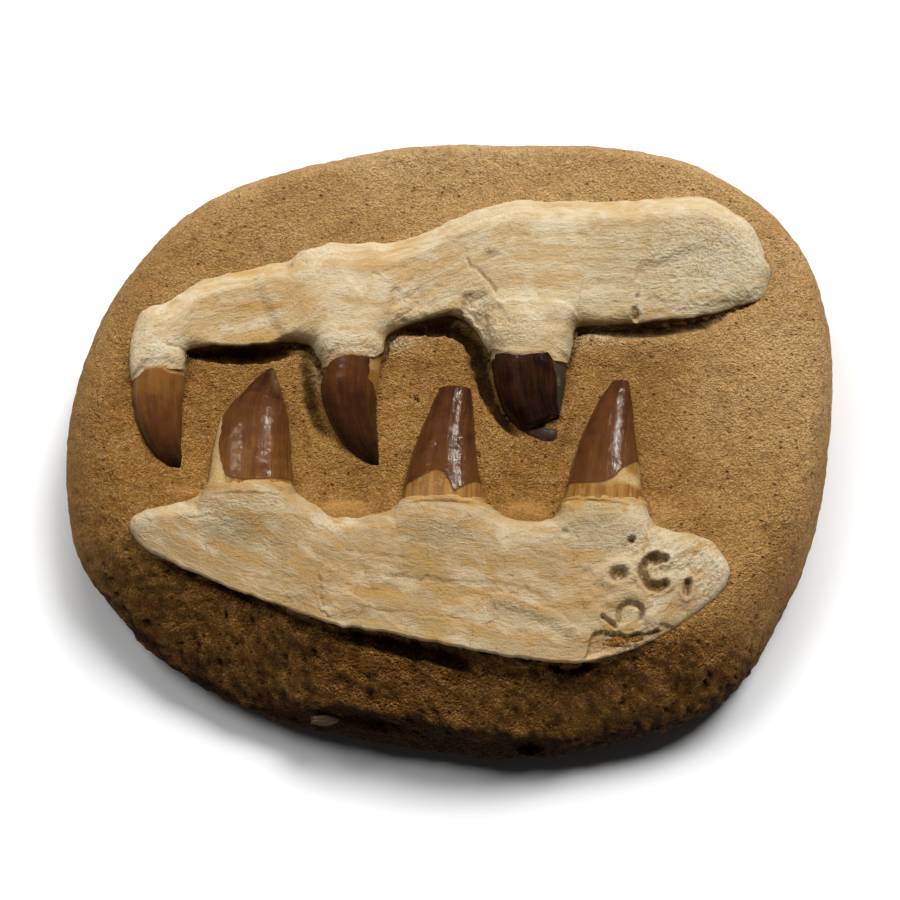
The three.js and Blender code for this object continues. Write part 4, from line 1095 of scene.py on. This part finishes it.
    # Painted shade: the bone is painted dark brown in its cracks, dents and pits, along its outline and down its
    # front wall, where shade falls. The listed blobs are partly real dirt and partly painted shade in hollows.
    hollow = smooth(0.25, 1.1, cracks(x, y, crack_list, wander) + np.clip(dents(x, y, dent_list, wander),
                                                                          0, 9) * 0.6)
    hollow = np.maximum(hollow, 1.5 * smooth(0.6, 2.0, channel_cut))
    foot = np.maximum((1 - smooth(0.1, 1.3, away)) * 0.5,
                      2.5 * (1 - smooth(0.90, 0.995, wall)) * at_front) * (1 - at_tooth)
    dirt_mark = np.maximum(np.maximum(hollow * 0.75, foot), blobs(x, y, dirt))
    pad = lambda v: np.concatenate([v, np.repeat(v[-1:], 2, axis=0)])
    return make_piece(
        name + "_dressed", name, "bone", flat_points, four, three, bone_material,
        fibre=pad(marks_of(fibre_top * MM, 0.0)),
        ochre=pad(marks_of(np.clip(blobs(x, y, ochre), 0, 1), 0.3)),
        crust=pad(marks_of(np.clip(blobs(x, y, crust) + 0.5 * roughness, 0, 1), 0.5)),
        dirt=pad(marks_of(dirt_mark, 0.8)),
        root=pad(marks_of(root, 0.0)),
        tan=pad(marks_of(np.full(len(x), jaw["tan"]), 0.5)),
    )


UPPER_TEETH = [name for name in TEETH if name.startswith("upper") and TEETH[name]["flare"] > 0]
LOWER_TEETH = [name for name in TEETH if name.startswith("lower")]
make_jaw("upper_jaw_bone", UPPER_JAW, UPPER_TEETH, UPPER_STEPS, UPPER_CRACKS, UPPER_DENTS, [],
         UPPER_ROUGH, UPPER_OCHRE, UPPER_CRUST, UPPER_DIRT, 300)
make_jaw("lower_jaw_bone", LOWER_JAW, LOWER_TEETH, LOWER_STEPS, LOWER_CRACKS, LOWER_DENTS, LOWER_CHANNELS,
         LOWER_ROUGH, LOWER_OCHRE, LOWER_CRUST, LOWER_DIRT, 400)

# %% [markdown]
# ## The matrix block
# The block's top is one even grid: a square whose rings are pressed into rounds, so that its
# cells are nearly the same size everywhere. The outer rings run down the shoulder to the waist.
# More rings go on under the block to its flat base. Grooves lower the grid, broken places push
# it in along its own normals, and then lumps, crumbs and pinholes roughen it.

# %% What the block measures
BLOCK_TOP, BLOCK_WAIST, BLOCK_UNDERCUT, BASIN_DEPTH = 40.0, 11.0, 13.0, 1.5
WAIST_PLAN = np.array([
    [0, 107.5, 12, 0], [-40.5, 101.9, 13, 0], [-80.6, 87.9, 15, 0], [-104.6, 64.8, 17, 0],
    [-119, 36, 18, 0],
    [-125, 2, 18, 0], [-120.5, -33, 22, 0.1], [-106, -54.4, 27, 0.4], [-85.4, -73, 32, 0.85],
    [-47.5, -90, 30, 1],
    [16, -100.7, 29, 1], [48, -96.6, 26, 1], [71, -90.5, 24, 0.7], [88.6, -82, 22, 0.5],
    [101, -66, 20, 0.2],
    [117.5, -32.2, 15, 0], [124.5, 1, 11, 0], [126.5, 38, 10, 0], [116.6, 72.1, 11, 0], [91, 95.5, 12, 0],
    [58.6, 105.2, 12, 0],
])
# How much of a wall there is under the ridge of the front slope, as [x, share].
WALL = [[-89, 0.15], [-62, 0.15], [-52, 0.25], [-38, 1], [-8, 1], [22, 0.8], [45, 0.4], [64, 0.15]]
RIDGE_AT = 2 / 3
SWELLS = [[0.5, 0.055, 0.03, 0.9], [0.4, -0.03, 0.075, 2.3], [0.3, 0.12, -0.08, 4.1]]
GROOVES = [
    dict(line=[[-84, 25.5], [-64, 25.2], [-50, 26]], wide=2.6, deep=4.5),
    dict(line=[[-46.5, 25], [-45, 14], [-43, 5], [-38.5, -3.5]], wide=2.0, deep=3.2),
    dict(line=[[-17, 32], [-5, 33.5], [4, 32], [8.5, 26], [10.8, 18.6], [12.0, 13.5], [14.5, 7.6],
               [18.6, 0.8],
               [22.4, -3.6]], wide=2.1, deep=5.0),
    dict(line=[[44, 33], [62, 33], [81, 35.5], [94, 39]], wide=2.0, deep=3.2),
    dict(line=[[-40, -67], [-12, -72.5], [10, -78], [38, -80.5]], wide=2.2, deep=3.6),
    dict(line=[[-95, -42], [-78, -49.5], [-62, -54.5], [-50, -59]], wide=1.5, deep=1.8),
    dict(line=[[-105.5, 30], [-105.2, 18], [-104.5, 8], [-101, -2]], wide=1.4, deep=1.3),
    dict(line=[[-78, -17], [-78, -6], [-76, 4]], wide=1.2, deep=1.2),
    dict(line=[[-46, -14], [-47, -4], [-48.5, 6]], wide=1.4, deep=1.4),
    dict(line=[[34, -16], [37.5, -5], [41.5, 4]], wide=1.6, deep=1.8),
    dict(line=[[46, -79], [60, -73.5], [72, -67]], wide=1.6, deep=1.6),
    dict(line=[[107.5, 46], [108.5, 55], [105, 66]], wide=1.3, deep=1.4),
]
BREAKS = [
    [[-25, -92, 20], [27, 5.5, 8], -0.16],
    [[25.5, -99, 17], [11, 4, 12], 0.05],
    [[-34.5, -79.5, 31.5], [7.5, 2.6, 5], -0.4],
    [[21.5, -93.5, 28], [14, 4, 6], 0.02],
]
# Sand left against the bone in the notches between the sockets, scraped smooth.
FILLETS = [[-32, -28, 9, 4, 1.5], [24, -29, 8, 4, 1.5], [-84, -22, 7, 3, 0.9], [68, -30, 4, 4, 1.0],
           [-45, -22, 3, 4, 1.0]]
DUSTED = [[-17, 29, 6, 3, 0.8], [50, 32, 9, 3.4, 0.8], [-48, -60, 5, 3, 0.7], [-42, 20, 2.5, 5, 0.5],
          [110, 50, 5, 16, 0.25],
          [0, 100, 80, 10, 0.35], [-36, -92, 8, 3, 0.5]]


# %% The shape of the block
def matrix_level(x, y):
    """The block's top, less the basin dug between the jaws, plus three broad waves."""
    across = smooth(-32, -20, y) * (1 - smooth(14, 34, y))
    along = smooth(-112, -80, x) * (1 - smooth(70, 104, x))
    swell = sum(high * np.sin(x * ax + y * ay + start) for high, ax, ay, start in SWELLS)
    return BLOCK_TOP - BASIN_DEPTH * across * along + swell


def push_in(points, normal, middle, size, turn, uneven):
    """Moves places inside an ellipsoid in along their normals to its far side: the larger root
    of |q - n t| = 1 in the ellipsoid's own units."""
    cos, sin = math.cos(-turn), math.sin(-turn)
    spin = np.array([[cos, -sin, 0], [sin, cos, 0], [0, 0, 1]])
    radii = np.array(size) / 2
    q = (points - middle) @ spin.T / radii / (1 + 0.16 * uneven)[:, None]
    n = -(normal @ spin.T) / radii
    a = (n * n).sum(axis=1)
    b = (q * n).sum(axis=1)
    c = (q * q).sum(axis=1) - 1
    root = (-b + np.sqrt(np.clip(b * b - a * c, 0, None))) / a
    return np.where(c < 0, root, 0)


def block_rings(half):
    """Grid places in the square, as a ring share from 0 to 1 and a turn from 0 to 1: a place's
    ring is the larger of |a| and |b|, and its turn the share of the way round that ring."""
    line = np.arange(-half, half + 1) / half
    a, b = (g.ravel() for g in np.meshgrid(line, line, indexing="ij"))
    ring = np.maximum(np.abs(a), np.abs(b))
    safe = np.where(ring == 0, 1, ring)
    eighth = np.where(np.abs(a) >= np.abs(b), b / safe * np.sign(a), -a / safe * np.sign(b))
    quarter = np.where(np.abs(a) >= np.abs(b), np.where(a >= 0, 0, 4), np.where(b >= 0, 2, 6))
    turn = (quarter + eighth) / 8 % 1
    return ring, turn


def ridge_profile(share, wall):
    """Share of the way out and of the height down a slope that breaks at a ridge: straight lines
    from (0, 1) by a soft brow to the corner at (1 - wall / 5, wall / 2), and on to (1, 0)."""
    corner_out, corner_up = 1 - 0.20 * wall, 0.50 * wall
    slope = np.clip(share / RIDGE_AT, 0, 1)
    drop = np.clip((share - RIDGE_AT) / (1 - RIDGE_AT), 0, 1)
    out = slope * corner_out + drop * (1 - corner_out)
    up = 1 + (corner_up - 1) * (0.75 * slope + 0.25 * slope**2) - drop * corner_up
    return out, up


def make_block(half=128, top_share=0.72, below=9, floor_rings=5):
    ring, turn = block_rings(half)
    side = 2 * half + 1
    grid = np.arange(side * side).reshape(side, side)
    four_top = np.stack([grid[:-1, :-1], grid[1:, :-1], grid[1:, 1:], grid[:-1, 1:]], -1).reshape(-1, 4)
    border = np.concatenate([grid[:-1, 0], grid[-1, :-1], grid[:0:-1, -1], grid[0, :0:-1]])
    spans = len(WAIST_PLAN)
    plan = line_through(WAIST_PLAN, turn * spans, closed=True)
    edge, wide, ridge = plan[:, :2], plan[:, 2], np.clip(plan[:, 3], 0, 1)
    reach = np.hypot(*edge.T)
    share = np.clip((ring - top_share) / (1 - top_share), 0, 1)
    angle = share * np.pi / 2
    walled = np.interp(edge[:, 0], *np.array(WALL).T)
    ridge_out, ridge_up = ridge_profile(share, walled)
    out = np.sin(angle) * (1 - ridge) + ridge * ridge_out
    up = np.cos(angle) * (1 - ridge) + ridge * ridge_up
    on_top = np.clip(ring / top_share, 0, 1)
    scale = np.where(ring < top_share, on_top * (1 - wide / reach), 1 - wide * (1 - out) / reach)
    x, y = edge[:, 0] * scale, edge[:, 1] * scale
    z = BLOCK_WAIST + (matrix_level(x, y) - BLOCK_WAIST) * np.where(ring < top_share, 1, up)
    top = np.column_stack([x, y, z])
    rim = edge[border]
    far = reach[border]
    down = (np.arange(below) + 1) / below * np.pi / 2
    tuck = 1 - BLOCK_UNDERCUT * (1 - np.cos(down))[:, None] / far[None, :]
    under = np.empty((below, len(border), 3))
    under[..., :2] = rim[None] * tuck[..., None]
    under[..., 2] = (BLOCK_WAIST * (1 - np.sin(down)))[:, None]
    inward = 1 - (np.arange(floor_rings) + 1) / (floor_rings + 1)
    flat = np.empty((floor_rings, len(border), 3))
    flat[..., :2] = under[-1, None, :, :2] * inward[:, None, None]
    flat[..., 2] = 0.0
    points = np.vstack([top, under.reshape(-1, 3), flat.reshape(-1, 3), [[0, 0, 0]]])
    rows = below + floor_rings
    # Painted shade below the ridge of the front slope: this only darkens the colour.
    lee = ridge * (0.45 + 0.55 * walled)
    lee = np.concatenate([lee * smooth(RIDGE_AT - 0.02, RIDGE_AT + 0.03, share),
                          np.tile(lee[border], rows), [0]])
    start = len(top)
    lower = quads(rows, len(border), True, start)
    first = start + np.arange(len(border))
    joint = np.stack([border, first, np.roll(first, -1), np.roll(border, -1)], -1)
    four = np.vstack([four_top, joint, lower])
    three = fan(len(points) - 1, start + (rows - 1) * len(border) + np.arange(len(border)))[:, ::-1]
    return points, four, three, lee


points, four, three, lee = make_block()
if volume(points, four, three) < 0:
    four, three = four[:, ::-1], three[:, ::-1]
normal = facing(points, four, three)
print("block volume (cm3):", round(volume(points, four, three) / 1000, 1))

# %% Grooves, breaks and lumps in the block
x, y, z = points.T
uneven = fractal(points, 5.0, 3, 7)
above = smooth(20, 30, z)
dug = np.zeros(len(points))
for groove in GROOVES:
    bent = line_through(groove["line"], np.linspace(0, len(groove["line"]) - 1, 24))
    away, side, run = to_line(x, y, bent)
    length = np.hypot(*np.diff(bent, axis=0).T).sum()
    taper = np.sqrt(np.clip(np.sin(np.pi * (run + 1) / (length + 2)), 0, 1))
    width = groove["wide"] * (1 + 0.18 * uneven) * np.maximum(taper, 0.3)
    trough = np.sqrt(np.clip(1 - (away / (width + 0.5)) ** 2, 0, 1)) * taper
    filled = 0.6 * smooth(2, 12, x) * smooth(-60, -68, y)
    dug = np.maximum(dug, groove["deep"] * trough * (1 - filled))
crevice = np.zeros(len(points))
for jaw, ends, reach in ((UPPER_JAW, (-83, 102), 1.7), (LOWER_JAW, (-92, 8), 1.9),
                         (LOWER_JAW, (30, 48), 2.0)):
    edge = [r[1] for r in jaw["ribs"]][1:-1]
    away, side, _ = to_line(x, y, edge)
    held = smooth(ends[0] - 3, ends[0] + 3, x) * (1 - smooth(ends[1] - 8, ends[1] + 3, x))
    open_wide = 0.75 + 0.5 * uneven
    crevice = np.maximum(crevice, smooth(reach * open_wide, 0.3, away) * held * (side > -0.5))
dug = np.maximum(dug, 2.3 * crevice)
fillet = blobs(x, y, FILLETS) * above
points[:, 2] += above * (fillet - dug)
normal = facing(points, four, three)
broken = np.zeros(len(points))
for middle, size, turn in BREAKS:
    broken = np.maximum(broken, push_in(points, normal, np.array(middle), size, turn, uneven))
points = points - normal * broken[:, None]
normal = facing(points, four, three)

front = smooth(-62, -78, y + 0.26 * np.minimum(x, 0)) * smooth(44.5, 39, z)
free = 1 - smooth(0.2, 1.0, fillet)
base = smooth(0.5, 4, z)
near, _ = cells(points, 6.5, 21)
crumb, _ = cells(points, 3.0, 22)
pin, pin_own = cells(points, 3.4, 23)
lumps = 0.55 * fractal(points, 15.0, 3,
                       11) + front * (0.9 * fractal(points, 11.0, 3, 12) + 0.5 * (0.5 - near))
fine = (0.24 + 0.30 * front) * fractal(points, 2.6, 2, 13, 0.6) + (0.16 + 0.24 * front) * (0.45 - crumb)
holes = smooth(0.34, 0.12, pin) * smooth(0.62, 0.85, pin_own) * (0.45 + 0.7 * front)
lift = lumps * (0.55 + 0.45 * front) + (fine - holes) * (0.25 + 0.75 * free)
points = points + normal * (lift * base)[:, None]
points[:, 2] = np.where(z < 0.01, 0.0, np.maximum(points[:, 2], 0.0))

# Painted shade: the low front wall, the wall below the ridge, the grooves and crevices, the breaks and the pinholes
# are painted dark, raised grains are painted lighter, and two listed spots on the front get less.
wall = smooth(25, 17, z) * smooth(-35, -62, y)
earth = 0.34 * front + 0.36 * wall + 0.66 * lee + 0.92 * smooth(1.0, 3.0, dug)
earth = earth + 0.30 * smooth(0.3, 1.5, broken)
earth = earth - blobs(x, y, [[52, -84, 26, 9, 0.24], [-98, -60, 16, 14, 0.10]])
earth = np.clip(earth + 0.40 * smooth(0, 0.4, holes) - 0.8 * fine, 0, 1)
scraped = np.clip(smooth(0.25, 1.2, fillet), 0, 1)
# Pale dust in the listed spots, plus painted light on the raised fine relief.
dust = np.clip(blobs(x, y, DUSTED) + 0.3 * smooth(0.1, 0.5, fine), 0, 1) * (1 - 0.7 * front)
# The pale mark: lighter towards the back right, partly painted light, and less pale in the basin between the jaws and
# on the near slope, partly painted shade.
basin = smooth(-34, -24, y) * (1 - smooth(20, 34, y)) * smooth(-112, -90, x) * (1 - smooth(60, 100, x))
pale = 0.8 * y / 105 + np.where(x > 0, 0.60, 0.15) * x / 125 + 0.15 * fractal(points, 30, 2, 31)
pale = smooth(-0.25, 0.75, pale) * (1 - 0.8 * basin) * (1 - 0.7 * front)
make_piece(
    "matrix_block_dressed", "matrix_block", "matrix", points, four, three, matrix_material,
    earth=earth, scraped=scraped, dust=dust, pale=pale, coarse=front,
)

# %% [markdown]
# ## The chip in the lower face
# A small splinter of pale bone shows in the broken front of the block, where it lies in shade, so it is painted
# nearly black as painted shade. It is a lump turned and stretched like its solid, with faces left by breaking.

# %% Bone chip
def make_chip(rings=40, around=64):
    """A ball in rings and turns, cut flat by a few planes, then stretched, turned and placed."""
    lean = np.linspace(0, np.pi, rings + 2)[1:-1]
    turn = np.linspace(0, 2 * np.pi, around, endpoint=False)
    ball = np.stack(np.broadcast_arrays(
        np.sin(lean)[:, None] * np.cos(turn), np.sin(lean)[:, None] * np.sin(turn),
        np.cos(lean)[:, None] + 0 * turn,
    ), -1).reshape(-1, 3)
    ball = np.vstack([ball, [[0, 0, 1], [0, 0, -1]]])
    rng = np.random.default_rng(5)
    planes = rng.normal(size=(12, 3))
    planes /= np.linalg.norm(planes, axis=1, keepdims=True)
    reach = np.clip(0.84 / np.maximum(ball @ planes.T, 1e-3), 0, 1.0).min(axis=1)
    ball = ball * (0.5 * reach * (1 + 0.12 * fractal(ball * 3, 1.0, 3, 3)))[:, None]
    ax, ay, az = -0.6, 0.1, 0.15
    rx = np.array([[1, 0, 0], [0, math.cos(ax), -math.sin(ax)], [0, math.sin(ax), math.cos(ax)]])
    ry = np.array([[math.cos(ay), 0, math.sin(ay)], [0, 1, 0], [-math.sin(ay), 0, math.cos(ay)]])
    rz = np.array([[math.cos(az), -math.sin(az), 0], [math.sin(az), math.cos(az), 0], [0, 0, 1]])
    chip = (ball * [9.3, 2.7, 3.7]) @ (rx @ ry @ rz).T + [-39, -90.6, 18.3]
    count = rings * around
    ring = np.arange(around)
    three = np.vstack([fan(count, ring), fan(count + 1, ring + count - around)[:, ::-1]])
    zero = np.zeros(len(chip))
    # Painted shade: the dirt, tan and last marks paint the whole chip dark, a little lighter at its lower rim.
    return make_piece(
        "bone_chip_dressed", "bone_chip", "bone", chip, quads(rings, around), three, bone_material,
        fibre=chip * MM, ochre=zero, crust=zero, dirt=zero + 4, root=zero, tan=zero + 1,
        dim=1.0 - 0.12 * smooth(0.05, -0.3, ball[:, 1]),
    )


make_chip()

# %% [markdown]
# ## Floor, light and camera
# The block lies on a plain white table. The main softbox stands behind it on the right and a
# weaker one behind it on the left, so the near slope and the ground before it fall into soft
# shadow. The camera looks down at seventy degrees with a long lens, as the photograph does.

# %% Table
def make_floor(size=60.0):
    f = Finish("White table", Roughness=0.9, Specular_IOR_Level=0.1)
    tone = f.mix(f.grain(180.0, 2.0), (0.80, 0.80, 0.80), (0.82, 0.82, 0.82))
    mesh = bpy.data.meshes.new("table")
    h = size / 2
    mesh.from_pydata([(-h, -h, 0), (h, -h, 0), (h, h, 0), (-h, h, 0)], [], [(0, 1, 2, 3)])
    mesh.materials.append(f.wear(Base_Color=tone))
    table = bpy.data.objects.new("table", mesh)
    bpy.context.scene.collection.objects.link(table)


make_floor()

# %% Softboxes
MIDDLE = Vector(((0.5 + centring[0]) * MM, centring[1] * MM, 0.018))


def softlight(name, azimuth, elevation, spread, strength, glint=False):
    """A far soft light. Azimuth is degrees to the right of straight behind the block, and spread
    is how wide the lit box looks from there, in degrees. A glint is the bright strip down the
    middle of a box, which only shows in what mirrors it."""
    a, e = math.radians(azimuth), math.radians(elevation)
    way = Vector((math.sin(a) * math.cos(e), math.cos(a) * math.cos(e), math.sin(e)))
    data = bpy.data.lights.new(name, "SUN")
    data.angle = math.radians(spread)
    data.energy = strength
    data.color = (1.0, 0.94, 0.84) if glint else (1.0, 1.0, 1.0)
    lamp = bpy.data.objects.new(name, data)
    lamp.location = MIDDLE + way
    lamp.visible_glossy, lamp.visible_diffuse = glint, not glint
    lamp.rotation_euler = way.to_track_quat("Z", "Y").to_euler()
    bpy.context.scene.collection.objects.link(lamp)


softlight("right softbox", 36, 50, 24, 3.05)
softlight("back wall", 2, 46, 28, 1.45)
softlight("left softbox", -54, 55, 28, 1.35)
softlight("right strip", 34, 42, 2.5, 1.05, glint=True)
softlight("left strip", -46, 48, 2.5, 0.50, glint=True)
world = bpy.data.worlds.new("studio")
world.use_nodes = True
sky = world.node_tree.nodes["Background"]
sky.inputs["Color"].default_value = (1, 1, 1, 1)
seen = node(world.node_tree, "LightPath", output="Is Camera Ray")
world.node_tree.links.new((0.025 + 0.975 * seen).socket, sky.inputs["Strength"])
bpy.context.scene.world = world
bpy.context.scene.view_settings.view_transform = "Standard"

# %% Camera
ELEVATION, DISTANCE = math.radians(70), 0.817
camera_data = bpy.data.cameras.new("camera")
camera_data.lens = 100
camera_data.sensor_width = 36
camera_data.clip_start = 0.05
camera = bpy.data.objects.new("camera", camera_data)
camera.location = MIDDLE + Vector((0, -math.cos(ELEVATION), math.sin(ELEVATION))) * DISTANCE
camera.rotation_euler = (math.pi / 2 - ELEVATION, 0, 0)
bpy.context.scene.collection.objects.link(camera)
bpy.context.scene.camera = camera
